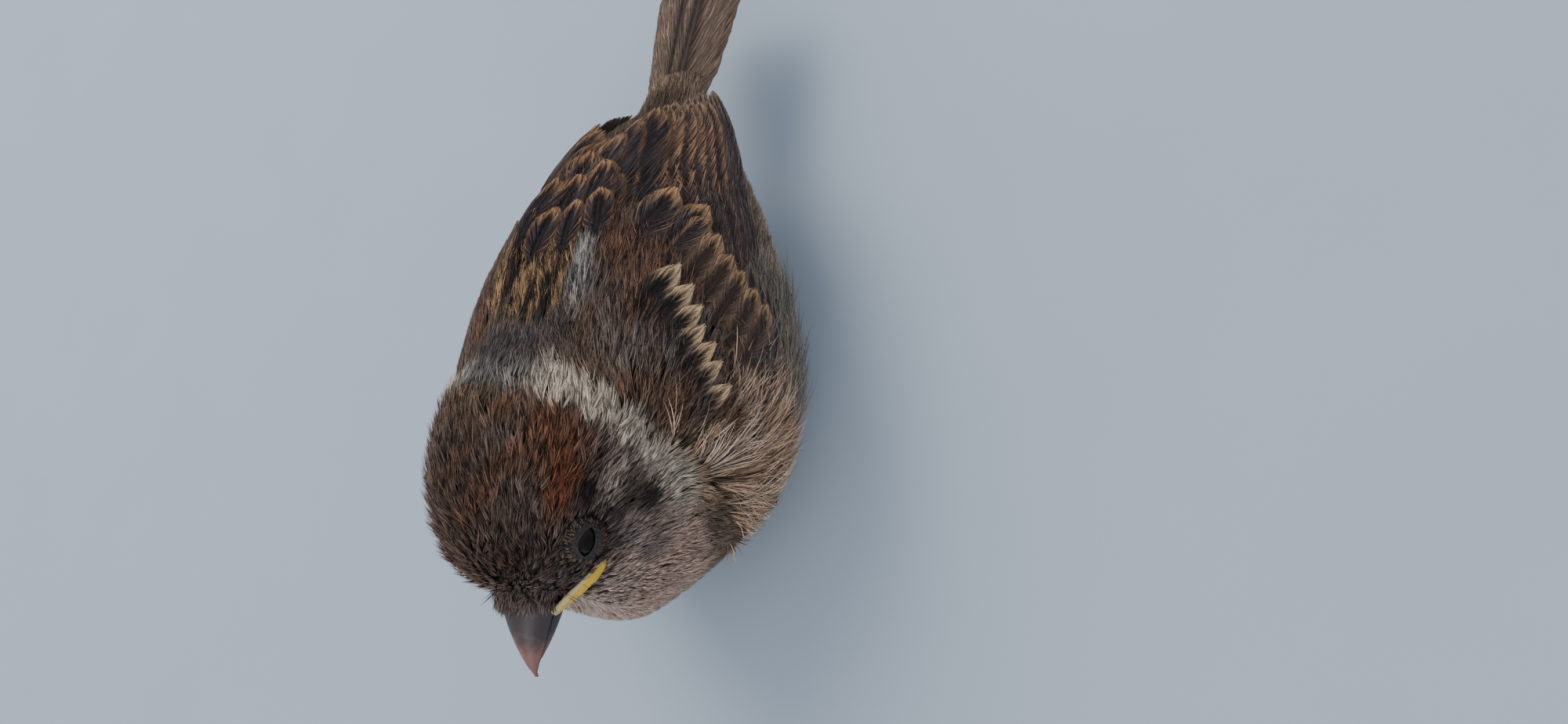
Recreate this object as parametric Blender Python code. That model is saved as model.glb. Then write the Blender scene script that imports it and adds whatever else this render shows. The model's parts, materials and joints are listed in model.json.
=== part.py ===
"""A life-size still model of a tree sparrow fledgling, crouched on the floor with its wings folded.

The bird faces -Y, its left is +X and the floor is z = 0. The solids follow the outside of the plumage.
Head, neck and trunk are one loft along the body, parted by thin plane cuts; the wings are shells laid on it.
"""

import math
from dataclasses import dataclass

import bmesh
import bpy
import numpy as np
from mathutils import Matrix, Vector
from mathutils.bvhtree import BVHTree

MM = 0.001
GAP = 0.35 * MM  # clearance between neighbouring solids

# Head: a puffed ball, bowed a little and turned on the shoulders
HEAD_CENTRE = Vector((0, -23.8 * MM, 34.2 * MM))
HEAD_PITCH = math.radians(8)
HEAD_YAW = math.radians(-3)
NECK_PIVOT = Vector((0, -14.0 * MM, 0))  # the head turns about an upright line through here

# Bill
BILL_BASE_AHEAD = 11.8 * MM
BILL_LENGTH = 8.4 * MM
BILL_HALF_WIDTH = 3.5 * MM
BILL_UP = 3.1 * MM
BILL_DOWN = 3.2 * MM
BILL_DROOP = math.radians(6)  # below the head's own axis
BILL_CLOSES = -0.4 * MM  # where the halves meet at the base, above the head's axis
BILL_LOWER_SHARE = 0.86  # the lower half's length to the upper's
BILL_HOOK = 0.5 * MM
BILL_TIP_WIDTH = 0.22 * MM
BILL_TIP_HEIGHT = 0.25 * MM
BILL_RINGS = 10

# Gape: the soft yellow flange of a young bird, from the side of the bill to under the eye
GAPE_RADIUS = 0.8 * MM
GAPE_PATH = (  # ahead, out and above in the head's own frame
    (12.6, 4.0, -0.6),
    (11.2, 5.4, -1.1),
    (9.6, 6.8, -1.7),
    (8.0, 8.0, -2.3),
    (6.7, 8.8, -2.8),
)
GAPE_TAPER = (0.55, 0.85, 1.0, 1.0, 0.6)

# Eyes
EYE_RADIUS = 2.5 * MM
EYE_AHEAD = 4.4 * MM
EYE_ABOVE = 1.5 * MM
EYE_OUT = 7.8 * MM
EYE_SEGMENTS = 16

# Wings, measured along Y from the bend of the wing to the tip of the longest primary
WING_BEND_Y = -16.0 * MM
WING_TIP_Y = 34.0 * MM
WING_JOIN = 0.60  # where the arm ends and the flight feathers begin, as a share of the length
WING_THICKNESS = 1.7 * MM
WING_EDGE = 0.55 * MM
WING_CLEARANCE = 1.3 * GAP  # between the wing's flat facets and the body's
WING_SMOOTHING = 0.06  # share of the length that the envelope is averaged over, each way
WING_RINGS_ARM = 13
WING_RINGS_QUILLS = 9

# Tail
TAIL_ROOT_Y = 30.5 * MM
TAIL_ROOT_HEIGHT = 17.2 * MM
TAIL_LENGTH = 27.0 * MM
TAIL_HALF_WIDTH_ROOT = 5.8 * MM
TAIL_HALF_WIDTH_END = 8.0 * MM
TAIL_THICKNESS = 2.4 * MM
TAIL_END_THICKNESS = 0.9 * MM
TAIL_END_HEIGHT = 13.8 * MM
TAIL_NOTCH = 1.8 * MM
TAIL_ARCH = 1.1 * MM  # drop of the outer feathers below the middle ones
TAIL_CORNER = 1.6 * MM  # how far the outermost feathers stop short
TAIL_ROWS = 9

# Feet: the shank lies folded under the belly and the toes reach out from under the breast
ANKLE = Vector((7.6 * MM, 2.5 * MM, 4.3 * MM))
FOOT = Vector((6.4 * MM, -8.0 * MM, 1.25 * MM))
SHANK_RADIUS = 1.15 * MM
TOE_RADIUS = 0.85 * MM
TOE_TIP_RADIUS = 0.62 * MM
TOE_PAD = 0.1 * MM
TOE_ANGLES = {"inner": -28, "middle": -6, "outer": 14, "hind": 160}
TOE_LENGTHS = {"inner": 8.6 * MM, "middle": 11.2 * MM, "outer": 8.8 * MM, "hind": 6.6 * MM}
CLAW_LENGTH = 3.6 * MM
CLAW_RADIUS = 0.52 * MM
CLAW_TIP_RADIUS = 0.26 * MM
CLAW_RISE = 0.55 * MM

RING_POINTS = 28
RINGS_PER_STATION = 3

COLOURS = {
    "crown": ("6b4630", 0.85),
    "mantle": ("5f4a3a", 0.85),
    "wing": ("4f3d31", 0.75),
    "tail": ("6a5443", 0.75),
    "bill": ("4a322b", 0.45),
    "gape": ("d9b83c", 0.5),
    "eye": ("0b0909", 0.08),
    "foot": ("a37c6c", 0.55),
    "claw": ("6b5549", 0.4),
}


def linear(channel):
    """The linear value of one sRGB channel."""
    return channel / 12.92 if channel <= 0.04045 else ((channel + 0.055) / 1.055) ** 2.4


def material(name):
    """The named finish as a Principled material."""
    if name in bpy.data.materials:
        return bpy.data.materials[name]
    code, roughness = COLOURS[name]
    made = bpy.data.materials.new(name)
    made.use_nodes = True
    shader = made.node_tree.nodes["Principled BSDF"]
    rgb = [linear(int(code[i : i + 2], 16) / 255) for i in (0, 2, 4)]
    shader.inputs["Base Color"].default_value = (*rgb, 1)
    shader.inputs["Roughness"].default_value = roughness
    return made


@dataclass(frozen=True)
class Station:
    """One cross-section of the body, by where it meets the profile above and below, in millimetres."""

    top_y: float
    top_z: float
    bottom_y: float
    bottom_z: float
    upper: float  # half width that the outline follows at its top
    middle: float  # the same half way up
    lower: float  # the same at its bottom
    turn: float  # share of the head's turn that it follows


BODY = {
    "bill_base": Station(-35.0, 35.2, -33.8, 29.2, 3.2, 3.4, 3.4, 1.0),
    "forehead": Station(-34.3, 38.9, -34.6, 26.4, 5.3, 4.7, 5.4, 1.0),
    "brow": Station(-32.3, 42.3, -35.9, 23.0, 7.3, 5.9, 7.0, 1.0),
    "eyes": Station(-28.9, 45.0, -36.5, 19.4, 9.2, 7.8, 8.2, 1.0),
    "crown": Station(-24.2, 46.6, -36.0, 15.6, 11.5, 9.7, 9.6, 1.0),
    "hindcrown": Station(-18.6, 46.3, -34.0, 11.9, 14.1, 12.0, 11.6, 0.85),
    "nape": Station(-13.4, 44.7, -30.6, 8.2, 16.4, 15.0, 15.0, 0.55),
    "shoulders": Station(-8.8, 42.0, -25.8, 5.2, 17.0, 18.2, 19.6, 0.2),
    "breast": Station(-3.8, 39.9, -19.4, 2.9, 17.0, 20.2, 22.4, 0.0),
    "mid_back": Station(2.4, 38.2, -11.2, 1.3, 17.0, 20.0, 22.6, 0.0),
    "belly": Station(9.2, 35.6, -1.0, -0.5, 16.0, 17.6, 18.4, 0.0),
    "flanks": Station(16.0, 32.2, 10.0, 0.4, 14.0, 14.4, 14.4, 0.0),
    "rump": Station(22.0, 28.7, 19.3, 4.4, 11.4, 11.0, 11.0, 0.0),
    "vent": Station(26.8, 24.6, 25.6, 9.0, 8.0, 7.9, 7.8, 0.0),
    "tail_root": Station(30.4, 21.0, 30.4, 13.0, 5.6, 5.6, 5.6, 0.0),
}
NAMES = list(BODY)

@dataclass(frozen=True)
class Bend:
    """The folded wing's own outline at one share of its length, in millimetres and degrees."""

    share: float
    half_width: float
    centre_z: float
    half_height: float
    top: float  # where its upper edge lies, above the horizontal
    bottom: float  # the same for its lower edge


WING = {
    "bend": Bend(0.0, 14.0, 21.5, 12.0, 40, -2),
    "shoulder": Bend(0.12, 16.8, 20.5, 16.0, 58, -6),
    "coverts": Bend(0.30, 18.0, 19.6, 17.0, 74, -6),
    "elbow": Bend(0.48, 17.2, 19.6, 15.8, 80, -6),
    "tertials": Bend(0.66, 14.8, 19.2, 12.8, 82, -12),
    "secondaries": Bend(0.80, 12.0, 18.2, 10.0, 76, -14),
    "fingers": Bend(0.92, 9.0, 17.2, 6.2, 60, -10),
    "tip": Bend(1.0, 6.2, 17.0, 3.2, 44, -4),
}

# The planes that part head, neck and trunk lean back from throat to nape
CUT_LEAN = math.radians(33)
HEAD_CUT = Vector((0, -35.0 * MM, 25.2 * MM))
NECK_CUT = Vector((0, -35.0 * MM, 19.4 * MM))


def along_body(t):
    """The station at t, counted in stations from the bill, on a smooth curve through them all."""
    rows = np.array([[*vars(s).values()] for s in BODY.values()])
    i = int(min(max(math.floor(t), 0), len(rows) - 2))
    f = t - i
    a, b = rows[i], rows[i + 1]
    slope_a = (b - rows[i - 1]) / 2 if i > 0 else b - a
    slope_b = (rows[i + 2] - a) / 2 if i < len(rows) - 2 else b - a
    weights = (2 * f**3 - 3 * f**2 + 1, f**3 - 2 * f**2 + f, -2 * f**3 + 3 * f**2, f**3 - f**2)
    return Station(*(weights[0] * a + weights[1] * slope_a + weights[2] * b + weights[3] * slope_b))


def turned(point, share):
    """A point carried round with the head by this share of its turn."""
    return NECK_PIVOT + Matrix.Rotation(share * HEAD_YAW, 3, "Z") @ (point - NECK_PIVOT)


def ring_of(station, grow=0.0, floor=True):
    """The section's outline: an ellipse wider below than above, set flat on the floor."""
    top = Vector((0, station.top_y, station.top_z)) * MM
    bottom = Vector((0, station.bottom_y, station.bottom_z)) * MM
    upward = (top - bottom).normalized() * grow
    top, bottom = top + upward, bottom - upward
    ring = []
    for i in range(RING_POINTS):
        angle = 2 * math.pi * i / RING_POINTS
        height = (1 + math.sin(angle)) / 2
        shares = ((1 - height) * (1 - 2 * height), 4 * height * (1 - height), height * (2 * height - 1))
        widths = (station.lower, station.middle, station.upper)
        half_width = sum(share * width for share, width in zip(shares, widths)) * MM + grow
        point = turned(bottom.lerp(top, height) + Vector((half_width * math.cos(angle), 0, 0)), station.turn)
        if floor:
            point.z = max(point.z, 0.0)
        ring.append(point)
    return ring


def loft(name, rings, finish):
    """One closed mesh through rings of equal length, with a flat cap at each end."""
    shape = bmesh.new()
    rows = [[shape.verts.new(p) for p in ring] for ring in rings]
    count = len(rings[0])
    for near, far in zip(rows, rows[1:]):
        for i in range(count):
            j = (i + 1) % count
            shape.faces.new((near[i], near[j], far[j], far[i]))
    shape.faces.new(rows[0])
    shape.faces.new(rows[-1])
    bmesh.ops.recalc_face_normals(shape, faces=shape.faces)
    mesh = bpy.data.meshes.new(name)
    shape.to_mesh(mesh)
    shape.free()
    return place(name, mesh, finish)


def place(name, mesh, finish):
    """Puts a mesh in the bird's collection as a smooth-shaded, named object."""
    made = bpy.data.objects.new(name, mesh)
    BIRD.objects.link(made)
    mesh.materials.append(material(finish))
    mesh.shade_smooth()
    mesh.set_sharp_from_angle(angle=math.radians(50))
    return made


def whole_body():
    """Head, neck and trunk in one closed loft."""
    places = np.linspace(0, len(NAMES) - 1, (len(NAMES) - 1) * RINGS_PER_STATION + 1)
    return loft("body", [ring_of(along_body(t)) for t in places], "mantle")


def part_body(body):
    """Parts the whole body into head, neck and trunk by two thin cuts, and gives back the head."""
    normal = Vector((0, -math.sin(CUT_LEAN), math.cos(CUT_LEAN)))
    gap = normal * (GAP / 2)
    sides = {
        "head": ("crown", [(HEAD_CUT + gap, -normal)]),
        "neck": ("mantle", [(HEAD_CUT - gap, normal), (NECK_CUT + gap, -normal)]),
        "trunk": ("mantle", [(NECK_CUT - gap, normal)]),
    }
    pieces = {}
    for name, (finish, planes) in sides.items():
        shape = bmesh.new()
        shape.from_mesh(body.data)
        for point, outward in planes:
            geometry = shape.verts[:] + shape.edges[:] + shape.faces[:]
            made = bmesh.ops.bisect_plane(
                shape, geom=geometry, dist=1e-7, plane_co=point, plane_no=outward, clear_outer=True
            )
            rim = [part for part in made["geom_cut"] if isinstance(part, bmesh.types.BMEdge)]
            bmesh.ops.contextual_create(shape, geom=rim)
        bmesh.ops.recalc_face_normals(shape, faces=shape.faces)
        mesh = bpy.data.meshes.new(name)
        shape.to_mesh(mesh)
        shape.free()
        pieces[name] = place(name, mesh, finish)
    bpy.data.objects.remove(body)
    return pieces["head"]


def combine(target, tool, operation):
    """Joins the tool to the target, or takes it out of it, and removes the tool."""
    modifier = target.modifiers.new("combine", "BOOLEAN")
    modifier.operation = operation
    modifier.solver = "MANIFOLD"
    modifier.object = tool
    bake_modifiers(target)
    bpy.data.objects.remove(tool)


def cut(target, cutter):
    """Takes the cutter out of the target."""
    combine(target, cutter, "DIFFERENCE")


def bake_modifiers(target):
    """Replaces the object's mesh with its evaluated one."""
    bpy.context.view_layer.update()
    graph = bpy.context.evaluated_depsgraph_get()
    mesh = bpy.data.meshes.new_from_object(target.evaluated_get(graph))
    target.modifiers.clear()
    target.data = mesh


def ball(name, centre, radius, finish=None):
    """A sphere, as a node where it has a finish and as a cutter where it has none."""
    shape = bmesh.new()
    bmesh.ops.create_uvsphere(
        shape, u_segments=EYE_SEGMENTS, v_segments=EYE_SEGMENTS // 2, radius=radius
    )
    bmesh.ops.translate(shape, verts=shape.verts, vec=centre)
    mesh = bpy.data.meshes.new(name)
    shape.to_mesh(mesh)
    shape.free()
    if finish:
        return place(name, mesh, finish)
    return place_cutter(name, mesh)


def place_cutter(name, mesh):
    """Puts a mesh among the cutters, out of the model."""
    made = bpy.data.objects.new(name, mesh)
    made.hide_render = True
    made.display_type = "WIRE"
    CUTTERS.objects.link(made)
    return made


def head_axes(droop=0.0):
    """The head's own directions: to the bill, to the left and to the crown."""
    pitch = HEAD_PITCH + droop
    turn = Matrix.Rotation(HEAD_YAW, 3, "Z")
    forward = turn @ Vector((0, -math.cos(pitch), -math.sin(pitch)))
    side = turn @ Vector((1, 0, 0))
    return forward, side, forward.cross(side)


def head_point(ahead, out, above):
    """A point in the head's own frame: ahead to the bill, out to the left, above to the crown."""
    forward, side, upward = head_axes()
    return turned(HEAD_CENTRE, 1) + forward * ahead + side * out + upward * above


def make_eyes(head):
    """An eyeball on each side, in a socket cut from the head."""
    for label, sign in (("left", 1), ("right", -1)):
        centre = head_point(EYE_AHEAD, sign * EYE_OUT, EYE_ABOVE)
        cut(head, ball(f"socket_{label}", centre, EYE_RADIUS + GAP))
        ball(f"eye_{label}", centre, EYE_RADIUS, "eye")


def make_gapes(head):
    """The flange at each corner of the mouth, let into the face."""
    for label, sign in (("left", 1), ("right", -1)):
        points = [head_point(ahead * MM, sign * out * MM, above * MM) for ahead, out, above in GAPE_PATH]
        radii = [GAPE_RADIUS * share for share in GAPE_TAPER]
        cut(head, tube(f"slot_{label}", points, [radius + GAP for radius in radii]))
        tube(f"gape_{label}", points, radii, "gape")


def bill_ring(share, upper):
    """Half of the bill's outline at this share of its length, above or below the line where it closes."""
    root = head_point(BILL_BASE_AHEAD, 0, BILL_CLOSES)
    forward, side, upward = head_axes(BILL_DROOP)
    reach = BILL_LENGTH if upper else BILL_LOWER_SHARE * BILL_LENGTH
    taper = 1 - share
    width = max(BILL_HALF_WIDTH * taper ** (0.85 if upper else 0.75), BILL_TIP_WIDTH)
    height = BILL_UP * (1 - share**1.7) if upper else BILL_DOWN * (1 - share**1.5)
    height = max(height, BILL_TIP_HEIGHT)
    hook = -BILL_HOOK * share**14 if upper else 0.0
    centre = root + forward * (reach * share) + upward * (hook + (GAP / 2 if upper else -GAP / 2))
    half = RING_POINTS // 2
    ring = []
    for i in range(half + 1):
        angle = math.pi * i / half
        lift = height * math.sin(angle) ** 0.85
        ring.append(centre + side * (width * math.cos(angle)) + upward * (lift if upper else -lift))
    return ring


def make_bill():
    """Both halves of the bill, lofted from the face to the tip."""
    shares = [1 - (1 - i / (BILL_RINGS - 1)) ** 1.25 for i in range(BILL_RINGS)]
    loft("bill_upper", [bill_ring(s, True) for s in shares], "bill")
    loft("bill_lower", [bill_ring(s, False) for s in shares], "bill")


def body_tree():
    """The uncut body, to measure from."""
    rings = [ring_of(along_body(t)) for t in np.linspace(0, len(NAMES) - 1, 60)]
    points = [p for ring in rings for p in ring]
    faces = []
    for row in range(len(rings) - 1):
        for i in range(RING_POINTS):
            a, b = row * RING_POINTS + i, row * RING_POINTS + (i + 1) % RING_POINTS
            faces.append((a, b, b + RING_POINTS, a + RING_POINTS))
    return BVHTree.FromPolygons(points, faces)


def wing_envelope(share):
    """Half width, centre height, half height and edge angles of the folded wing at a share of its length."""
    rows = np.array([[*vars(bend).values()] for bend in WING.values()])
    return [float(np.interp(share, rows[:, 0], rows[:, i])) for i in range(1, 6)]


def smooth_envelope(share):
    """The envelope averaged over a short length, so that the wing has no corners."""
    shares = [min(max(share + WING_SMOOTHING * k / 3, 0.0), 1.0) for k in range(-3, 4)]
    return np.mean([wing_envelope(s) for s in shares], axis=0)


def wing_ring(share, sign, body):
    """The wing's closed section: along its inner side, clear of the body, and back along its outer side."""
    half_width, centre_z, half_height, top, bottom = smooth_envelope(share)
    y = WING_BEND_Y + share * (WING_TIP_Y - WING_BEND_Y)
    count = RING_POINTS // 2
    inner, outer = [], []
    for i in range(count):
        across = i / (count - 1)
        angle = math.radians(bottom + (top - bottom) * across)
        direction = Vector((sign * math.cos(angle), 0, math.sin(angle)))
        start = Vector((0, y, centre_z * MM))
        reach = MM / math.hypot(math.cos(angle) / half_width, math.sin(angle) / half_height)
        hit = body.ray_cast(start, direction)[3]
        reach = max(reach, (hit or 0) + WING_CLEARANCE)
        rounding = math.sin(math.pi * across) ** 0.5 if 0 < across < 1 else 0.0
        ends = math.sin(math.pi * min(max(share, 0.03), 0.97)) ** 0.5
        thickness = WING_EDGE + (WING_THICKNESS - WING_EDGE) * rounding * ends
        inner.append(start + direction * reach)
        outer.append(start + direction * (reach + thickness))
    return inner + outer[::-1]


def make_wings():
    """Both folded wings: the arm with its coverts, and the flight feathers behind it."""
    body = body_tree()
    trim = GAP / 2 / (WING_TIP_Y - WING_BEND_Y)
    for label, sign in (("left", 1), ("right", -1)):
        arm = np.linspace(0, WING_JOIN - trim, WING_RINGS_ARM)
        quills = np.linspace(WING_JOIN + trim, 1, WING_RINGS_QUILLS)
        loft(f"wing_{label}_arm", [wing_ring(s, sign, body) for s in arm], "wing")
        loft(f"wing_{label}_quills", [wing_ring(s, sign, body) for s in quills], "wing")


def make_tail():
    """The closed tail: a shallow arched fan with a notched end."""
    rings = []
    for row in range(TAIL_ROWS + 1):
        share = row / TAIL_ROWS
        half_width = TAIL_HALF_WIDTH_ROOT + (TAIL_HALF_WIDTH_END - TAIL_HALF_WIDTH_ROOT) * share**0.8
        thickness = TAIL_THICKNESS + (TAIL_END_THICKNESS - TAIL_THICKNESS) * share**0.6
        height = TAIL_ROOT_HEIGHT + (TAIL_END_HEIGHT - TAIL_ROOT_HEIGHT) * share
        ring = []
        for i in range(RING_POINTS):
            angle = 2 * math.pi * i / RING_POINTS
            across = math.cos(angle)
            arch = -TAIL_ARCH * across**2
            notch = TAIL_NOTCH * (abs(across) - 1) * share**4
            corner = -TAIL_CORNER * max(0.0, abs(across) - 0.6) / 0.4 * share**6
            y = TAIL_ROOT_Y + GAP + (TAIL_LENGTH - GAP) * share + notch + corner
            z = height + arch + thickness / 2 * math.copysign(abs(math.sin(angle)) ** 0.6, math.sin(angle))
            ring.append(Vector((half_width * across, y, z)))
        rings.append(ring)
    loft("tail", rings, "tail")


def tube(name, points, radii, finish=None):
    """A round tapering rod along points, as a closed mesh."""
    data = bpy.data.curves.new(name, "CURVE")
    data.dimensions = "3D"
    data.bevel_depth = 1.0
    data.bevel_resolution = 2
    data.use_fill_caps = True
    spline = data.splines.new("POLY")
    spline.points.add(len(points) - 1)
    for slot, point, radius in zip(spline.points, points, radii):
        slot.co = (*point, 1)
        slot.radius = radius
    guide = bpy.data.objects.new(name + "_curve", data)
    BIRD.objects.link(guide)
    bpy.context.view_layer.update()
    graph = bpy.context.evaluated_depsgraph_get()
    mesh = bpy.data.meshes.new_from_object(guide.evaluated_get(graph))
    bpy.data.objects.remove(guide)
    shape = bmesh.new()
    shape.from_mesh(mesh)
    bmesh.ops.remove_doubles(shape, verts=shape.verts, dist=0.001 * MM)
    bmesh.ops.recalc_face_normals(shape, faces=shape.faces)
    shape.to_mesh(mesh)
    shape.free()
    if finish:
        return place(name, mesh, finish)
    return place_cutter(name, mesh)


def toe_points(root, angle, length, sign):
    """A toe's centre line: out along the floor with a low arch at each joint."""
    direction = Vector((sign * math.sin(angle), -math.cos(angle), 0))
    points, radii = [], []
    for i in range(7):
        share = i / 6
        radius = TOE_RADIUS + (TOE_TIP_RADIUS - TOE_RADIUS) * share
        pad = TOE_PAD * abs(math.sin(3 * math.pi * share))
        point = root + direction * (length * share - TOE_RADIUS / 2)
        point.z = (radius + pad) * 0.98
        points.append(point)
        radii.append(radius + pad)
    return points, radii, direction


def make_legs(trunk_shape):
    """Each leg as shank and toes in one piece, cut clear of the belly, and a claw on each toe."""
    for label, sign in (("left", 1), ("right", -1)):
        ankle = Vector((sign * ANKLE.x, ANKLE.y, ANKLE.z))
        foot = Vector((sign * FOOT.x, FOOT.y, FOOT.z))
        along = [ankle.lerp(foot, i / 4) for i in range(5)]
        leg = tube(f"leg_{label}", along, [SHANK_RADIUS] * 5, "foot")
        for toe, degrees in TOE_ANGLES.items():
            points, radii, direction = toe_points(foot, math.radians(degrees), TOE_LENGTHS[toe], sign)
            combine(leg, tube(f"toe_{label}_{toe}", points, radii), "UNION")
            make_claw(f"claw_{label}_{toe}", points[-1], direction)
        cut(leg, trunk_shape(f"belly_{label}"))
        flatten(leg)


def make_claw(name, start, direction):
    """A curved claw past the end of a toe, its tip down on the floor."""
    points, radii = [], []
    for i in range(6):
        share = i / 5
        radius = CLAW_RADIUS + (CLAW_TIP_RADIUS - CLAW_RADIUS) * share
        rise = CLAW_RISE * math.sin(math.pi * min(share * 1.1, 1.0))
        point = start + direction * (TOE_TIP_RADIUS * 0.1 + GAP + CLAW_LENGTH * share)
        point.z = max(radius, TOE_TIP_RADIUS * (1 - share) + rise)
        points.append(point)
        radii.append(radius)
    flatten(tube(name, points, radii, "claw"))


def flatten(made):
    """Sets what dips under the floor flat on it."""
    for vertex in made.data.vertices:
        vertex.co.z = max(vertex.co.z, 0.0)


def belly_cutter(name):
    """The trunk, a gap fatter all round."""
    places = np.linspace(NAMES.index("eyes"), len(NAMES) - 1.6, 24)
    grown = loft(name, [ring_of(along_body(t), GAP, floor=False) for t in places], "mantle")
    BIRD.objects.unlink(grown)
    CUTTERS.objects.link(grown)
    grown.hide_render = True
    return grown


def set_on_floor():
    """Moves the whole bird so that the origin is under the middle of its box."""
    bpy.context.view_layer.update()
    points = [p.matrix_world @ v.co for p in BIRD.objects for v in p.data.vertices]
    low = Vector(min(p[i] for p in points) for i in range(3))
    high = Vector(max(p[i] for p in points) for i in range(3))
    shift = Matrix.Translation((-(low.x + high.x) / 2, -(low.y + high.y) / 2, -low.z))
    for piece in BIRD.objects:
        piece.data.transform(shift)


def main():
    """Builds every piece of the bird."""
    head = part_body(whole_body())
    make_eyes(head)
    make_gapes(head)
    make_bill()
    make_wings()
    make_tail()
    make_legs(belly_cutter)
    set_on_floor()


for old in list(bpy.data.objects):
    bpy.data.objects.remove(old)
BIRD = bpy.data.collections.new("tree_sparrow")
CUTTERS = bpy.data.collections.new("cutters")
for group in (BIRD, CUTTERS):
    bpy.context.scene.collection.children.link(group)
main()
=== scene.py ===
"""Looks for a still model of a young tree sparrow: skin, plumage, bill, eyes, feet and studio.

All is in metres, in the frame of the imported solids: the bird faces -Y, its left is +X and the floor is z = 0.
Tables and fields hold millimetres where they don't say otherwise.
"""

import json
import logging
import math
from dataclasses import dataclass, field, replace
from enum import Enum, StrEnum

import bpy
import numpy as np
from mathutils import Matrix, Vector
from mathutils.bvhtree import BVHTree

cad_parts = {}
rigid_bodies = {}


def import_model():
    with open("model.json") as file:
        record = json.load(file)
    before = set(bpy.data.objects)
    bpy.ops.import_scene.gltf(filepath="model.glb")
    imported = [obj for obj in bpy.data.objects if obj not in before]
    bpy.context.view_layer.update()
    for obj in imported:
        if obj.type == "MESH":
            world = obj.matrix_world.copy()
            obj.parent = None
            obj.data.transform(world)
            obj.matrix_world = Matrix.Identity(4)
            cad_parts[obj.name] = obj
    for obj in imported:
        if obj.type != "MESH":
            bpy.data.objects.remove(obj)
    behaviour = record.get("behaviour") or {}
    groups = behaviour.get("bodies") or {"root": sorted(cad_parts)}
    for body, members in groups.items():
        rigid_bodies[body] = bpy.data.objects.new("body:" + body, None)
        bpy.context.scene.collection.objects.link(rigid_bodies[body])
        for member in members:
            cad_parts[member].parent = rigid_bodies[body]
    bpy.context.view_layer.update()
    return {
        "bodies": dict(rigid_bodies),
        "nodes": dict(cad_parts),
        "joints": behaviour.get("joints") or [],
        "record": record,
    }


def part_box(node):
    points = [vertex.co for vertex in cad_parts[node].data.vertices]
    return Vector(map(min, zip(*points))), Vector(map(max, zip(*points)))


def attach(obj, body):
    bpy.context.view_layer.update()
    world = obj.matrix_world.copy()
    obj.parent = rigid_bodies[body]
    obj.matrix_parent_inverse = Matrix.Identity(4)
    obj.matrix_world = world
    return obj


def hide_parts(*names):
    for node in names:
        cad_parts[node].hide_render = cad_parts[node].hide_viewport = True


LOG = logging.getLogger("sparrow")
MM = 0.001
SEED = 41
TUFT = 0.003  # width of a tuft's place on the unwrap
FULL_TURN = 2 * math.pi
Pair = tuple[float, float]
Triple = tuple[float, float, float]
Array = np.ndarray
Random = np.random.Generator
Tree = bpy.types.NodeTree
Two = tuple[Array, Array]
Three = tuple[Array, Array, Array]
Four = tuple[Array, Array, Array, Array]
Inputs = dict[str, bpy.types.NodeSocket | float | tuple]  # of a shader


class Slot(StrEnum):
    """The record's material slots."""

    CROWN = "crown"
    MANTLE = "mantle"
    WING = "wing"
    TAIL = "tail"
    BILL = "bill"
    GAPE = "gape"


class Side(Enum):
    """The bird's own left, at +X, and its right."""

    LEFT = 1
    RIGHT = -1

    @property
    def word(self) -> str:
        """The side as it stands in the names of pieces."""
        return self.name.lower()

    @property
    def mirrored(self) -> bool:
        """Whether what is laid out for the left side is turned over."""
        return self is Side.RIGHT


# ---- small helpers


def linear(code: str) -> Array:
    """Turns an sRGB hex value into linear red, green and blue.

    Args:
        code: six hex digits.

    Returns:
        Three linear channels.
    """
    rgb = np.array([int(code[i : i + 2], 16) for i in (0, 2, 4)]) / 255
    return np.where(rgb <= 0.04045, rgb / 12.92, ((rgb + 0.055) / 1.055) ** 2.4)


def rgba(code: str) -> tuple[float, ...]:
    """The linear colour of a hex value with full alpha, as a socket takes it."""
    return (*linear(code), 1.0)


def smooth(low: float, high: float, x: Array) -> Array:
    """A soft step from 0 at low to 1 at high."""
    t = np.clip((x - low) / (high - low), 0.0, 1.0)
    return t * t * (3 - 2 * t)


def mix(first: Array, second: Array, share: Array) -> Array:
    """Rows of the first colours, blended into the second by a share for each row."""
    return first * (1 - share[..., None]) + second * share[..., None]


def unit(v: Array) -> Array:
    """The vectors, each scaled to length one."""
    return v / np.maximum(np.linalg.norm(v, axis=-1, keepdims=True), 1e-12)


def ripple(points: Array, wavelength: float, seed: int) -> Array:
    """Smooth wandering values in about -1 to 1 over space.

    Args:
        points: places in millimetres, one row each.
        wavelength: typical distance between crests in millimetres.
        seed: picks one of many such fields.

    Returns:
        One value for each point.
    """
    rng = np.random.default_rng(seed)
    total = np.zeros(len(points))
    for _ in range(6):
        wave = unit(rng.normal(size=3)) * (FULL_TURN / wavelength) * rng.uniform(0.7, 1.5)
        total += np.sin(points @ wave + rng.uniform(0, FULL_TURN))
    return total / 2.6


def grid(first: Array, second: Array) -> Two:
    """Both numbers of every pair of two lists, in rows of the first."""
    a, b = np.meshgrid(first, second, indexing="ij")
    return a.ravel(), b.ravel()


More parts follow.
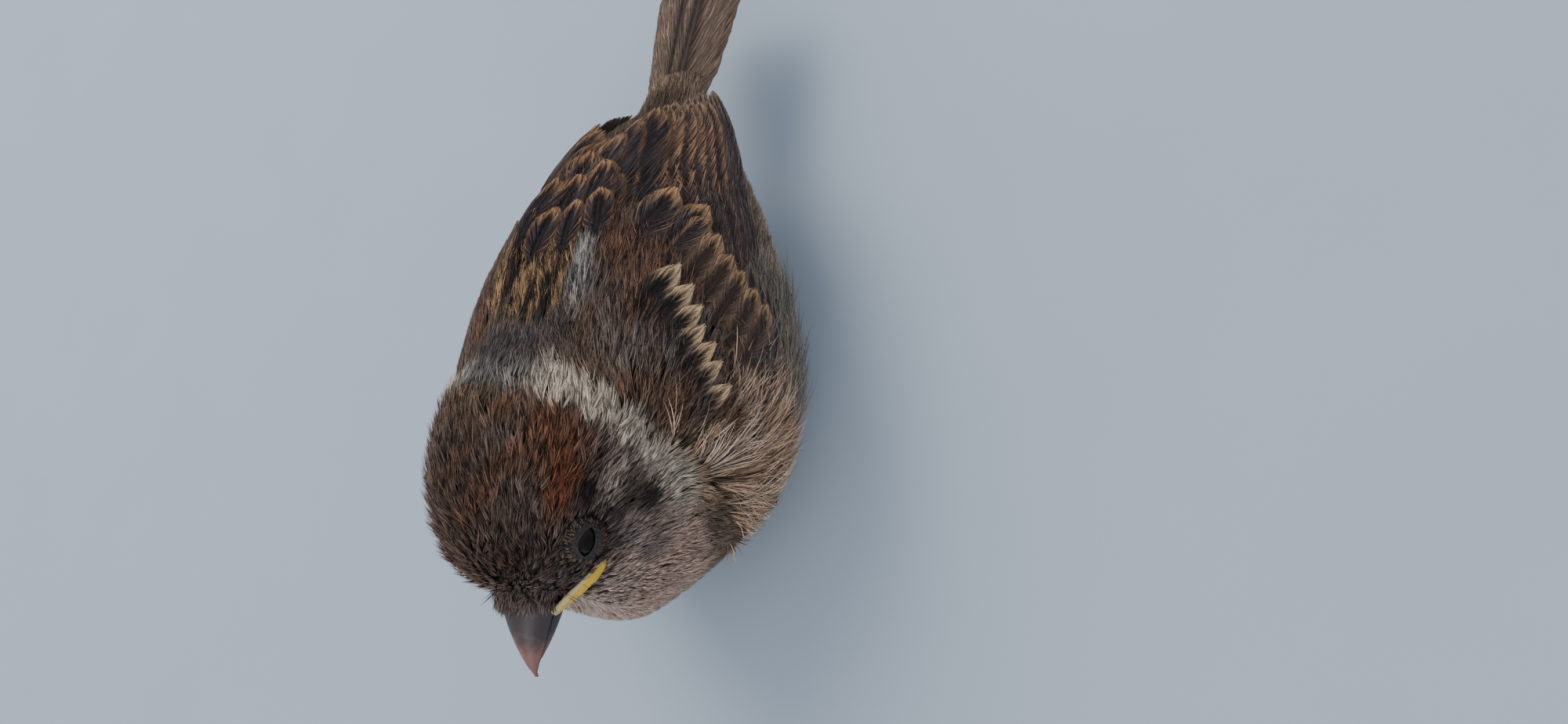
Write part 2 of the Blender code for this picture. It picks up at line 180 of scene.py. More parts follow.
def add_node(tree: Tree, kind: str, settings: dict | None = None, links: dict | None = None) -> bpy.types.Node:
    """Adds a node with its settings and links.

    Args:
        tree: the node tree to add to.
        kind: the node's type name without its first part, which all shader nodes share.
        settings: values by property name, or by the name or number of an input.
        links: output sockets by the name or number of the input that they feed.

    Returns:
        The new node.
    """
    node = tree.nodes.new("ShaderNode" + kind)
    for key, value in (settings or {}).items():
        if isinstance(key, int) or key in node.inputs:
            node.inputs[key].default_value = value
        else:
            setattr(node, key, value)
    for key, source in (links or {}).items():
        tree.links.new(source, node.inputs[key])
    return node


def mesh_object(
    name: str, points: Array, triangles: Array, tint: Array | None = None, maps: dict[str, Array] | None = None
) -> bpy.types.Object:
    """Makes a smooth-shaded object from arrays.

    Args:
        name: the piece's name.
        points: vertex places in metres.
        triangles: vertex numbers, three to a row.
        tint: linear colour of each vertex, if it has any.
        maps: UV maps by name, one pair for each vertex.

    Returns:
        The object, linked to the scene.
    """
    mesh = bpy.data.meshes.new(name)
    mesh.vertices.add(len(points))
    mesh.vertices.foreach_set("co", np.asarray(points, np.float32).ravel())
    mesh.loops.add(3 * len(triangles))
    mesh.loops.foreach_set("vertex_index", np.asarray(triangles, np.int32).ravel())
    mesh.polygons.add(len(triangles))
    mesh.polygons.foreach_set("loop_start", np.arange(0, 3 * len(triangles), 3, dtype=np.int32))
    mesh.update(calc_edges=True)
    if tint is not None:
        layer = mesh.color_attributes.new("tint", "FLOAT_COLOR", "POINT")
        tint = tint / np.maximum(tint.max(1, keepdims=True), 1)  # a colour that is too bright keeps its hue
        colours = np.concatenate([tint, np.ones((len(tint), 1))], axis=1)
        layer.data.foreach_set("color", colours.astype(np.float32).ravel())
    for label, coordinates in (maps or {}).items():
        layer = mesh.uv_layers.new(name=label)
        layer.data.foreach_set("uv", np.asarray(coordinates, np.float32)[triangles.ravel()].ravel())
    mesh.shade_smooth()
    made = bpy.data.objects.new(name, mesh)
    bpy.context.scene.collection.objects.link(made)
    return made


def wear(piece: bpy.types.Object, finish: "Finish", slot: Slot, nodes: tuple[str, ...] = ()) -> None:
    """Gives a piece its material and ties it to the bird.

    Args:
        piece: the new object.
        finish: its material.
        slot: the record's material slot of the piece; not used.
        nodes: the solids that it stands for.
    """
    piece.data.materials.clear()
    piece.data.materials.append(finish.material())
    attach(piece, "root")
    if nodes:
        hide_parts(*nodes)
    LOG.info("%s: %d triangles", piece.name, len(piece.data.polygons))


def dress(frame: dict, node: str, finish: "Finish") -> None:
    """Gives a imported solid, whose shape stays, a finer material.

    Args:
        node: the solid's name.
        finish: its material.
    """
    for slot in frame["nodes"][node].material_slots:
        slot.material = finish.material()
    LOG.info("%s: dressed as %s", node, finish.name)


def grid_triangles(rows: int, columns: int, closed: bool, flip: bool) -> Array:
    """Triangles of a grid of points numbered row by row.

    Args:
        rows: number of rows.
        columns: number of points in a row.
        closed: whether the last column joins the first.
        flip: turns the faces over.

    Returns:
        Vertex numbers, three to a row.
    """
    i, j = grid(np.arange(rows - 1), np.arange(columns if closed else columns - 1))
    a, b = i * columns + j, i * columns + (j + 1) % columns
    c, d = b + columns, a + columns
    faces = np.concatenate([np.stack([a, b, c], 1), np.stack([a, c, d], 1)])
    return faces[:, ::-1] if flip else faces


def slab(rows: int, columns: int, closed: bool, flip: bool) -> Array:
    """Triangles of a thin closed body between two grids of points, an outer and then an inner.

    Args:
        rows: number of rows in each.
        columns: number of points in a row.
        closed: whether the last column joins the first.
        flip: turns the faces over.

    Returns:
        Vertex numbers, three to a row.
    """
    count = rows * columns
    number = np.arange(count).reshape(rows, columns)
    loops = [number[0], number[-1]]  # the second runs the other way round its face
    if not closed:
        loops = [np.concatenate([number[0], number[1:, -1], number[-1, -2::-1], number[-2:0:-1, 0]])]
    faces = [grid_triangles(rows, columns, closed, False), grid_triangles(rows, columns, closed, True) + count]
    for loop, turn in zip(loops, (1, -1)):
        after = np.roll(loop, -1)
        wall = np.hstack([np.stack([loop, loop + count, after + count]), np.stack([loop, after + count, after])])
        faces.append(wall.T[:, ::turn])
    return np.concatenate(faces)[:, :: -1 if flip else 1]


def loft(rings: Array, flip: bool) -> Two:
    """A closed tube through rings, with a point in the middle of each end.

    Args:
        rings: points in metres, as (ring, point, 3).
        flip: whether the rings turn the other way round.

    Returns:
        Points and triangles.
    """
    rows, columns = rings.shape[:2]
    number, k = rows * columns, np.arange(columns)
    j = (k + 1) % columns
    points = np.concatenate([rings.reshape(-1, 3), rings[[0, -1]].mean(1)])
    first = np.stack([np.full_like(k, number), k, j], 1)
    last = np.stack([np.full_like(k, number + 1), number - columns + j, number - columns + k], 1)
    triangles = np.concatenate([grid_triangles(rows, columns, True, True), first, last])
    return points, triangles[:, ::-1] if flip else triangles


# ---- finishes


@dataclass(frozen=True)
class Finish:
    """A material, made once and shared by every piece that wears it."""

    name: str
    roughness: float
    ior: float = 1.55  # keratin, which feathers, bill and claws are made of

    def material(self) -> bpy.types.Material:
        """Makes the material on first use.

        Returns:
            The material of this finish's name.
        """
        if self.name in bpy.data.materials:
            return bpy.data.materials[self.name]
        made = bpy.data.materials.new(self.name)
        made.use_nodes = True
        tree = made.node_tree
        shader = tree.nodes["Principled BSDF"]
        for key, value in {"Roughness": self.roughness, "IOR": self.ior, **self.paint(tree)}.items():
            if isinstance(value, bpy.types.NodeSocket):
                tree.links.new(value, shader.inputs[key])
            else:
                shader.inputs[key].default_value = value
        return made

    def paint(self, tree: Tree) -> Inputs:
        """Adds the finish's own nodes and gives the shader's inputs by name, as values or as sockets."""
        raise NotImplementedError


@dataclass(frozen=True)
class DownyBarbs(Finish):
    """Loose barbs of contour feathers. Each barb scatters light like a dull thread, so nothing shines."""

    flecks: float = 0.15  # strength of the small light and dark flecks
    grain: float = 0.5 * MM  # length of a fleck along a barb

    def paint(self, tree: Tree) -> Inputs:
        """Takes the coat's marking and flecks it lightly.

        Args:
            tree: the material's nodes.

        Returns:
            The shader's inputs.
        """
        tint = add_node(tree, "VertexColor", {"layer_name": "tint"})
        place = add_node(tree, "TexCoord").outputs["Object"]
        noise = add_node(tree, "TexNoise", {"Scale": 1 / self.grain, "Detail": 2.0}, {"Vector": place})
        span = {"From Min": 0.3, "From Max": 0.7, "To Min": 1 - self.flecks, "To Max": 1 + self.flecks}
        gain = add_node(tree, "MapRange", span, {"Value": noise.outputs["Fac"]})
        factors = {0: tint.outputs["Color"], 1: gain.outputs["Result"]}
        flecked = add_node(tree, "VectorMath", {"operation": "MULTIPLY"}, factors)
        return {"Base Color": flecked.outputs[0], "Specular IOR Level": 0.25}


@dataclass(frozen=True)
class Vane(Finish):
    """A closed feather vane: barbs zipped side by side from a shaft, so it reads as fine slanting lines."""

    centre: str = "2b2322"
    edge: str = "8a5a35"
    tip: str = "b98a5c"
    edge_share: float = 0.35  # of the half width
    tip_share: float = 0.15  # of the length
    length: float = 12.0  # to scale the barbs
    barb: float = 0.17  # between barbs: real ones lie 0.04 apart, too fine to show

    def tint(self, along: Array, away: Array) -> Array:
        """The marking of a feather, dark in the middle and paler round the rim.

        Args:
            along: share of the length from root to tip.
            away: share of the half width from shaft to rim.

        Returns:
            Linear colours with a last axis of three.
        """
        rim = smooth(1 - self.edge_share, 1 - self.edge_share * 0.35, away)
        end = smooth(1 - self.tip_share, 1 - self.tip_share * 0.4, along + 0.12 * away * away)
        return mix(mix(linear(self.centre), linear(self.edge), rim), linear(self.tip), end)

    def paint(self, tree: Tree) -> Inputs:
        """The marking that the mesh carries, over fine raised lines.

        Args:
            tree: the material's nodes.

        Returns:
            The shader's inputs.
        """
        tint = add_node(tree, "VertexColor", {"layer_name": "tint"})
        where = add_node(tree, "UVMap", {"uv_map": "vane"})
        bands = self.length / self.barb * FULL_TURN / 20  # the wave node makes 20 / 2 pi bands at scale 1
        settings = {"bands_direction": "Y", "Scale": bands, "Distortion": 1.5}
        lines = add_node(tree, "TexWave", settings, {0: where.outputs[0]})
        settings = {"Strength": 0.5, "Distance": 0.05 * MM}
        bump = add_node(tree, "Bump", settings, {"Height": lines.outputs["Fac"]})
        return {"Base Color": tint.outputs[0], "Normal": bump.outputs[0], "Specular IOR Level": 0.15}


@dataclass(frozen=True)
class Horn(Finish):
    """Keratin grown in layers, as bill and claws: a soft gloss, dark in the middle and paler at root and tip."""

    dark: str = "3b2c29"
    light: str = "85564b"
    clouds: float = 1.6 * MM
    growth: float = 0.25 * MM  # spacing of the growth lines
    worn: float = 0.6 * MM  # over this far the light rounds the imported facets
    base: Triple = (0.0, 0.0, 0.0)
    tip: Triple = (0.0, 0.0, 1.0)

    def paint(self, tree: Tree) -> Inputs:
        """Clouded colour from base to tip with fine growth lines.

        Args:
            tree: the material's nodes.

        Returns:
            The shader's inputs.
        """
        place = add_node(tree, "TexCoord").outputs["Object"]
        reach = Vector(self.tip) - Vector(self.base)
        offset = add_node(tree, "VectorMath", {"operation": "SUBTRACT", 1: self.base}, {0: place})
        settings = {"operation": "DOT_PRODUCT", 1: tuple(reach / reach.length_squared)}
        share = add_node(tree, "VectorMath", settings, {0: offset.outputs[0]})
        noise = add_node(tree, "TexNoise", {"Scale": 1 / self.clouds, "Detail": 4.0}, {0: place})
        sources = {0: noise.outputs["Fac"], 2: share.outputs["Value"]}
        blend = add_node(tree, "Math", {"operation": "MULTIPLY_ADD", 1: 0.7}, sources)
        ramp = add_node(tree, "ValToRGB", None, {0: blend.outputs[0]})
        stops = ramp.color_ramp.elements
        stops[0].position, stops[1].position = 0.2, 1.0
        stops[0].color = stops[1].color = rgba(self.light)
        for position in (0.45, 0.75):
            stops.new(position).color = rgba(self.dark)
        lines = add_node(tree, "TexNoise", {"Scale": 1 / self.growth, "Detail": 2.0}, {0: place})
        rounded = add_node(tree, "Bevel", {"samples": 6, "Radius": self.worn})
        sources = {"Height": lines.outputs["Fac"], "Normal": rounded.outputs[0]}
        bump = add_node(tree, "Bump", {"Strength": 0.25, "Distance": 0.06 * MM}, sources)
        return {"Base Color": ramp.outputs[0], "Normal": bump.outputs[0]}


@dataclass(frozen=True)
class Skin(Finish):
    """Soft bare skin or thin flesh with a little light let through: a low waxy gloss over fine creases."""

    colour: str = "8d7264"
    second: str = "6b5248"
    blotch: float = 1.2 * MM
    crease: float = 0.22 * MM
    depth: float = 0.25 * MM
    scatter: float = 0.15
    painted: bool = False  # takes the coat's marking instead of its own colours

    def paint(self, tree: Tree) -> Inputs:
        """Two blotched colours, or the marking, over creased skin.

        Args:
            tree: the material's nodes.

        Returns:
            The shader's inputs.
        """
        place = add_node(tree, "TexCoord").outputs["Object"]
        if self.painted:
            colour = add_node(tree, "VertexColor", {"layer_name": "tint"}).outputs[0]
        else:
            noise = add_node(tree, "TexNoise", {"Scale": 1 / self.blotch, "Detail": 3.0}, {0: place})
            settings = {"data_type": "RGBA", 6: rgba(self.colour), 7: rgba(self.second)}
            colour = add_node(tree, "Mix", settings, {0: noise.outputs["Fac"]}).outputs[2]
        settings = {"Scale": 1 / self.crease, "feature": "DISTANCE_TO_EDGE"}
        cells = add_node(tree, "TexVoronoi", settings, {"Vector": place})
        settings = {"Strength": 0.6, "Distance": self.depth}
        bump = add_node(tree, "Bump", settings, {"Height": cells.outputs["Distance"]})
        return {
            "Base Color": colour,
            "Normal": bump.outputs[0],
            "Subsurface Weight": self.scatter,
            "Subsurface Radius": (1.0 * MM, 0.4 * MM, 0.25 * MM),  # red light goes furthest through flesh
            "Subsurface Scale": 1.0,
        }


@dataclass(frozen=True)
class EyeGlass(Finish):
    """A wet cornea over a dark brown iris: near black with one sharp highlight."""

    iris: str = "1d100b"
    pupil: str = "020202"
    centre: Triple = (0.0, 0.0, 0.0)
    outward: Triple = (1.0, 0.0, 0.0)
    radius: float = 2.5 * MM

    def paint(self, tree: Tree) -> Inputs:
        """Pupil and iris by distance from the eye's own axis.

        Args:
            tree: the material's nodes.

        Returns:
            The shader's inputs.
        """
        place = add_node(tree, "TexCoord").outputs["Object"]
        offset = add_node(tree, "VectorMath", {"operation": "SUBTRACT", 1: self.centre}, {0: place})
        settings = {"operation": "DOT_PRODUCT", 1: tuple(Vector(self.outward) / self.radius)}
        facing = add_node(tree, "VectorMath", settings, {0: offset.outputs[0]})
        span = {"From Min": 0.90, "From Max": 0.94}  # the pupil's rim, as cosines from the axis
        rim = add_node(tree, "MapRange", span, {"Value": facing.outputs["Value"]})
        settings = {"data_type": "RGBA", 6: rgba(self.iris), 7: rgba(self.pupil)}
        colour = add_node(tree, "Mix", settings, {0: rim.outputs[0]}).outputs[2]
        return {"Base Color": colour, "Coat Weight": 0.1, "Coat Roughness": 0.05, "Specular IOR Level": 0.2}


@dataclass(frozen=True)
class StudioFloor(Finish):
    """Matt painted board, sprayed: an even pale ground with no gloss."""

    colour: str = "b4bfca"

    def paint(self, tree: Tree) -> Inputs:
        """A barely clouded plain colour.

        Args:
            tree: the material's nodes.

        Returns:
            The shader's inputs.
        """
        place = add_node(tree, "TexCoord").outputs["Object"]
        noise = add_node(tree, "TexNoise", {"Scale": 40.0, "Detail": 3.0}, {0: place})
        span = {"To Min": 0.97, "To Max": 1.03}
        gain = add_node(tree, "MapRange", span, {"Value": noise.outputs["Fac"]})
        settings = {"operation": "MULTIPLY", 0: tuple(linear(self.colour))}
        return {"Base Color": add_node(tree, "VectorMath", settings, {1: gain.outputs[0]}).outputs[0]}


# ---- the bird's own shape


@dataclass(frozen=True)
class Station:
    """One cross-section of the plumage, by where it meets the profile above and below."""

    top_y: float
    top_z: float
    bottom_y: float
    bottom_z: float
    upper: float  # half width that the outline follows at its top
    middle: float  # the same half way up
    lower: float  # the same at its bottom
    turn: float  # share of the head's turn that it follows


PROFILE = {
    "bill_base": Station(-35.0, 35.2, -33.8, 29.2, 3.2, 3.4, 3.4, 1.0),
    "forehead": Station(-34.3, 38.9, -34.6, 26.4, 5.3, 4.7, 5.4, 1.0),
    "brow": Station(-32.3, 42.3, -35.9, 23.0, 7.3, 5.9, 7.0, 1.0),
    "eyes": Station(-28.9, 45.0, -36.5, 19.4, 9.2, 7.8, 8.2, 1.0),
    "crown": Station(-24.2, 46.6, -36.0, 15.6, 11.5, 9.7, 9.6, 1.0),
    "hindcrown": Station(-18.6, 46.3, -34.0, 11.9, 14.1, 12.0, 11.6, 0.85),
    "nape": Station(-13.4, 44.7, -30.6, 8.2, 16.4, 15.0, 15.0, 0.55),
    "shoulders": Station(-8.8, 42.0, -25.8, 5.2, 17.0, 18.2, 19.6, 0.2),
    "breast": Station(-3.8, 39.9, -19.4, 2.9, 17.0, 20.2, 22.4, 0.0),
    "mid_back": Station(2.4, 38.2, -11.2, 1.3, 17.0, 20.0, 22.6, 0.0),
    "belly": Station(9.2, 35.6, -1.0, -0.5, 16.0, 17.6, 18.4, 0.0),
    "flanks": Station(16.0, 32.2, 10.0, 0.4, 14.0, 14.4, 14.4, 0.0),
    "rump": Station(22.0, 28.7, 19.3, 4.4, 11.4, 11.0, 11.0, 0.0),
    "vent": Station(26.8, 24.6, 25.6, 9.0, 8.0, 7.9, 7.8, 0.0),
    "tail_root": Station(30.4, 21.0, 30.4, 13.0, 5.6, 5.6, 5.6, 0.0),
    "tail_coverts": Station(36.6, 18.3, 35.2, 14.9, 4.8, 4.2, 3.6, 0.0),
}
LAST = len(PROFILE) - 1
HEAD_YAW = math.radians(-3)  # the head turns a little to its right
HEAD_PITCH = math.radians(8)  # and the bill points a little down
PIVOT_Y = -14.0  # where the neck turns
HEAD_CENTRE = (0.0, -23.8, 34.2)
EYE = (4.4, 7.8, 1.5)  # the left eye's middle, ahead, out and above in the head's own frame
EYE_RADIUS = 2.5


class Surface:
    """A smooth surface that two numbers, a and b, run over, which plumage can grow on."""

    reach_a = 0.02  # how far apart the slopes are taken
    reach_b = 0.01
    outside = 1.0  # -1 where the two slopes' cross product points inward
    stray = (0.0, 0.0)  # how far a feather's tip strays from its row, in the tables' units

    def place(self, a: Array, b: Array) -> Array:
        """Points in metres at the surface's two numbers."""
        raise NotImplementedError

    def unwrap(self, a: Array, b: Array) -> Array:
        """Where the points lie on the flat unwrap of this surface."""
        raise NotImplementedError

    def second(self, b: Array, side: Side) -> Array:
        """The surface's second number for values that a table gives for the left side."""
        raise NotImplementedError

    def frame(self, a: Array, b: Array) -> Four:
        """Points with their two slopes and outward normals.

        Args:
            a: first surface number of each point.
            b: second surface number of each point.

        Returns:
            Points, slope along a, slope along b, unit normals.
        """
        slope_a = (self.place(a + self.reach_a, b) - self.place(a - self.reach_a, b)) / (2 * self.reach_a)
        slope_b = (self.place(a, b + self.reach_b) - self.place(a, b - self.reach_b)) / (2 * self.reach_b)
        return self.place(a, b), slope_a, slope_b, self.outside * unit(np.cross(slope_a, slope_b))

    @staticmethod
    def step(slope_a: Array, slope_b: Array, move: Array) -> Two:
        """How far the two surface numbers change for a small move along the surface.

        Args:
            slope_a: slope along a at each point.
            slope_b: slope along b at each point.
            move: the move in metres.

        Returns:
            Change of a and change of b.
        """
        aa, ab, bb = (slope_a * slope_a).sum(1), (slope_a * slope_b).sum(1), (slope_b * slope_b).sum(1)
        ma, mb = (slope_a * move).sum(1), (slope_b * move).sum(1)
        size = np.maximum(aa * bb - ab * ab, 1e-18)
        return (ma * bb - mb * ab) / size, (mb * aa - ma * ab) / size


class BodySurface(Surface):
    """The outside of the plumage of head, neck and trunk: stations along it and the angle round it."""

    def __init__(self) -> None:
        """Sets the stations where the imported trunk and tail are."""
        self.rows = np.array([[*vars(station).values()] for station in PROFILE.values()])
        low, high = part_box("tail")
        trunk_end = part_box("trunk")[1].y
        self.shift = np.array([(low.x + high.x) / 2, trunk_end - PROFILE["tail_root"].top_y * MM, 0.0])

    def place(self, a: Array, b: Array) -> Array:
        """Points on a smooth curve through the stations.

        Args:
            a: number of the station, and shares between two.
            b: angle, 0 on the left and a quarter turn on top.

        Returns:
            Points in metres.
        """
        a = np.clip(a, 0.0, LAST)
        i = np.clip(np.floor(a).astype(int), 0, LAST - 1)
        f = (a - i)[:, None]
        here, after = self.rows[i], self.rows[i + 1]
        before, beyond = self.rows[np.maximum(i - 1, 0)], self.rows[np.minimum(i + 2, LAST)]
        slope = np.where((i > 0)[:, None], (after - before) / 2, after - here)
        slope_on = np.where((i < LAST - 1)[:, None], (beyond - here) / 2, after - here)
        row = (2 * f**3 - 3 * f**2 + 1) * here + (f**3 - 2 * f**2 + f) * slope
        row = row + (3 * f**2 - 2 * f**3) * after + (f**3 - f**2) * slope_on
        top_y, top_z, bottom_y, bottom_z, upper, middle, lower, turn = row.T
        h = (1 + np.sin(b)) / 2
        width = (1 - h) * (1 - 2 * h) * lower + 4 * h * (1 - h) * middle + h * (2 * h - 1) * upper
        x = width * np.cos(b)
        y = bottom_y + (top_y - bottom_y) * h - PIVOT_Y
        z = np.maximum(bottom_z + (top_z - bottom_z) * h, 0.0)
        angle = turn * HEAD_YAW
        turned_x = x * np.cos(angle) - y * np.sin(angle)
        turned_y = x * np.sin(angle) + y * np.cos(angle) + PIVOT_Y
        return np.stack([turned_x, turned_y, z], 1) * MM + self.shift

    def unwrap(self, a: Array, b: Array) -> Array:
        """The angle across and the stations up."""
        return np.stack([0.02 + 0.96 * ((b / FULL_TURN + 0.25) % 1.0), 0.02 + 0.96 * a / LAST], 1)

    def head_point(self, ahead: float, out: float, above: float) -> Array:
        """A point in metres given in millimetres in the head's own frame: to the bill, the left and the crown."""
        centre, axes = self.head_frame()
        return centre + (axes[0] * ahead + axes[1] * out + axes[2] * above) * MM

    def eye(self, side: Side) -> Array:
        """The middle of one eye in metres."""
        return self.head_point(EYE[0], side.value * EYE[1], EYE[2])

    def head_frame(self) -> Two:
        """Where the head is and how it is turned.

        Returns:
            Its centre in metres, and its directions to the bill, the left and the crown.
        """
        turn = Matrix.Rotation(HEAD_YAW, 3, "Z")
        pivot = Vector((0, PIVOT_Y, 0))
        centre = (pivot + turn @ (Vector(HEAD_CENTRE) - pivot)) * MM
        forward = turn @ Vector((0, -math.cos(HEAD_PITCH), -math.sin(HEAD_PITCH)))
        side = turn @ Vector((1, 0, 0))
        return np.array(centre) + self.shift, np.array([forward, side, forward.cross(side)])


@dataclass
class Envelope(Surface):
    """The outside of wings, back and tail: distance along the body and the angle round its middle line."""

    reach_a = 0.4
    reach_b = 0.03
    stray = (0.25, 0.6)
    nodes: dict[str, bpy.types.Object]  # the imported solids, which it is measured from
    span: Pair = (-30.0, 52.0)  # along the body
    sweep: Pair = (-70.0, 250.0)  # degrees
    step_y: float = 0.5
    step_turn: float = 2.0  # degrees
    far: float = 60 * MM  # rays start this far out and end just before the middle line
    radius_blur: float = 2.0  # in cells
    winged_blur: float = 1.0

    def __post_init__(self) -> None:
        """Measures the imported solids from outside."""
        self.y = np.arange(self.span[0], self.span[1] + 0.01, self.step_y)
        self.turn = np.radians(np.arange(self.sweep[0], self.sweep[1] + 0.01, self.step_turn))
        trees = {
            name: BVHTree.FromPolygons([v.co for v in o.data.vertices], [tuple(p.vertices) for p in o.data.polygons])
            for name, o in self.nodes.items()
            if name.startswith(("wing", "neck", "trunk", "tail"))
        }
        self.radius = np.zeros((len(self.y), len(self.turn)))
        self.winged = np.zeros_like(self.radius)
        for i, y in enumerate(self.y):
            middle = Vector((0, y, self.height(np.array([y]))[0])) * MM
            for j, angle in enumerate(self.turn):
                out = Vector((math.cos(angle), 0, math.sin(angle)))
                furthest = {True: 0.0, False: 0.0}  # of the wings and of the rest
                for name, tree in trees.items():
                    away = tree.ray_cast(middle + out * self.far, -out, self.far * 0.995)[3]
                    if away is not None:
                        wing = name.startswith("wing")
                        furthest[wing] = max(furthest[wing], self.far - away)
                self.radius[i, j] = max(furthest.values())
                self.winged[i, j] = furthest[True] > furthest[False]
        self.fill()
        self.radius = self.blur(self.radius, self.radius_blur)
        self.winged = self.blur(self.winged, self.winged_blur)

    @staticmethod
    def height(y: Array) -> Array:
        """Height of the middle line, sinking towards the tail."""
        return 19.0 - 4.0 * smooth(8.0, 26.0, y)

    def fill(self) -> None:
        """Carries the nearest measured radius over the places where nothing was met."""
        for line in self.radius:
            known = line > 0
            if known.any():
                line[:] = np.interp(self.turn, self.turn[known], line[known])
        rows = np.nonzero(self.radius.max(1))[0]
        self.radius = self.radius[rows[abs(rows[:, None] - np.arange(len(self.y))).argmin(0)]]

    @staticmethod
    def blur(table: Array, sigma: float) -> Array:
        """Smooths a table both ways.

        Args:
            table: one value for each distance and angle.
            sigma: over how many cells.

        Returns:
            The smoothed table.
        """
        reach = int(3 * sigma)
        weights = np.exp(-0.5 * (np.arange(-reach, reach + 1) / sigma) ** 2)
        weights /= weights.sum()
        for axis in (0, 1):
            padded = np.pad(table, [(reach, reach) if k == axis else (0, 0) for k in (0, 1)], mode="edge")
            table = np.apply_along_axis(lambda line: np.convolve(line, weights, "valid"), axis, padded)
        return table

    def look_up(self, table: Array, a: Array, b: Array) -> Array:
        """Values of a table between its cells.

        Args:
            table: one value for each distance and angle.
            a: distance along the body.
            b: angle in radians.

        Returns:
            One value for each point.
        """
        u = np.clip((a - self.span[0]) / self.step_y, 0, len(self.y) - 1.001)
        v = np.clip((np.degrees(b) - self.sweep[0]) / self.step_turn, 0, len(self.turn) - 1.001)
        i, j = u.astype(int), v.astype(int)
        f, g = u - i, v - j
        near = table[i, j] * (1 - g) + table[i, j + 1] * g
        far = table[i + 1, j] * (1 - g) + table[i + 1, j + 1] * g
        return near * (1 - f) + far * f

    def place(self, a: Array, b: Array) -> Array:
        """Points in metres at distance a and angle b, 0 on the left and a quarter turn on top."""
        radius = self.look_up(self.radius, a, b)
        return np.stack([radius * np.cos(b), a * MM, self.height(a) * MM + radius * np.sin(b)], 1)

    def unwrap(self, a: Array, b: Array) -> Array:
        """The angle across and the distance up."""
        (low_a, high_a), (low_b, high_b) = self.span, self.turn[[0, -1]]
        return 0.02 + 0.96 * np.stack([(b - low_b) / (high_b - low_b), (a - low_a) / (high_a - low_a)], 1)

    def second(self, b: Array, side: Side) -> Array:
        """The angle in radians for degrees that a table gives for the left side."""
        return math.pi - np.radians(b) if side.mirrored else np.radians(b)


# ---- markings


@dataclass(frozen=True)
class Patch:
    """A soft-edged patch of colour, alike on both sides of the bird."""

    centre: Triple
    reach: Triple
    colour: str
    strength: float = 1.0
    softness: float = 0.5  # share of the reach over which it fades


HEAD_PATCHES = (  # placed ahead, out and above in the head's own frame
    Patch((1, 0, 10), (12, 8, 6), "57463d"),  # crown
    Patch((2, 0, 12), (8, 3.5, 4), "46372f", 0.8, 0.7),  # its darker middle
    Patch((-9, 0, 10), (5, 9, 5), "62503f", 0.8, 0.7),  # hindcrown
    Patch((-3.5, 9.5, 7.0), (5.5, 4.0, 3.6), "6f4329", 0.75, 0.8),  # chestnut side of the crown
    Patch((2.5, 9.6, 6.2), (4.5, 1.9, 2.6), "80452a", 0.9, 0.7),  # its brightest part over the eye
    Patch((7.5, 4.0, 6.5), (4, 5, 3), "4a382f", 0.8, 0.7),  # forehead
    Patch((4.5, 11, 1.5), (5.5, 4, 4), "54473f", 0.9, 0.6),  # round the eye
    Patch((1.2, 10.3, 3.4), (1.8, 2.0, 1.1), "1f1918", 0.9, 0.6),  # dark line behind the eye
    Patch((9.0, 6.0, 1.2), (3.6, 3.4, 2.6), "5a4c44", 0.95, 0.6),  # lores
    Patch((-1.2, 12.0, 1.1), (4.6, 3.0, 1.5), "a39182", 0.9, 0.7),  # pale streak behind the eye
    Patch((1.2, 12.3, -3.4), (3.4, 4.4, 2.7), "2a2220", 0.95, 0.8),  # dark ear patch
    Patch((5.0, 10.8, -2.9), (2.2, 3.0, 2.0), "94837a", 0.9, 0.7),  # pale cheek before it
    Patch((5.6, 10.9, -6.2), (4.0, 4.5, 2.4), "85756b", 0.9, 0.7),  # lower cheek
    Patch((10.5, 6.5, -4.6), (4.0, 4.0, 2.6), "bea594", 0.9, 0.7),  # under the gape
    Patch((11, 0, -6), (5, 9, 3.5), "c4aa99", 1.0, 0.6),  # chin
)
BODY_PATCHES = (  # placed out to a side, back and up from the floor
    Patch((0, -16, 42), (9, 5.5, 6), "524a46", 0.9, 0.6),  # grey of the nape
    Patch((2.0, -8.5, 39), (7.0, 5.5, 6), "55402f", 0.9, 0.6),  # mantle
    Patch((14, -28, 27), (5.5, 6, 6), "a98b6e", 0.95, 0.6),  # side of the breast
    Patch((21, -10, 16), (7, 14, 9), "857a6e", 0.9, 0.7),  # flank
    Patch((0, 12, 33), (14, 10, 8), "5c4a3d"),  # lower back
    Patch((0, 20, 25), (10, 7, 7), "62503f"),  # rump
)


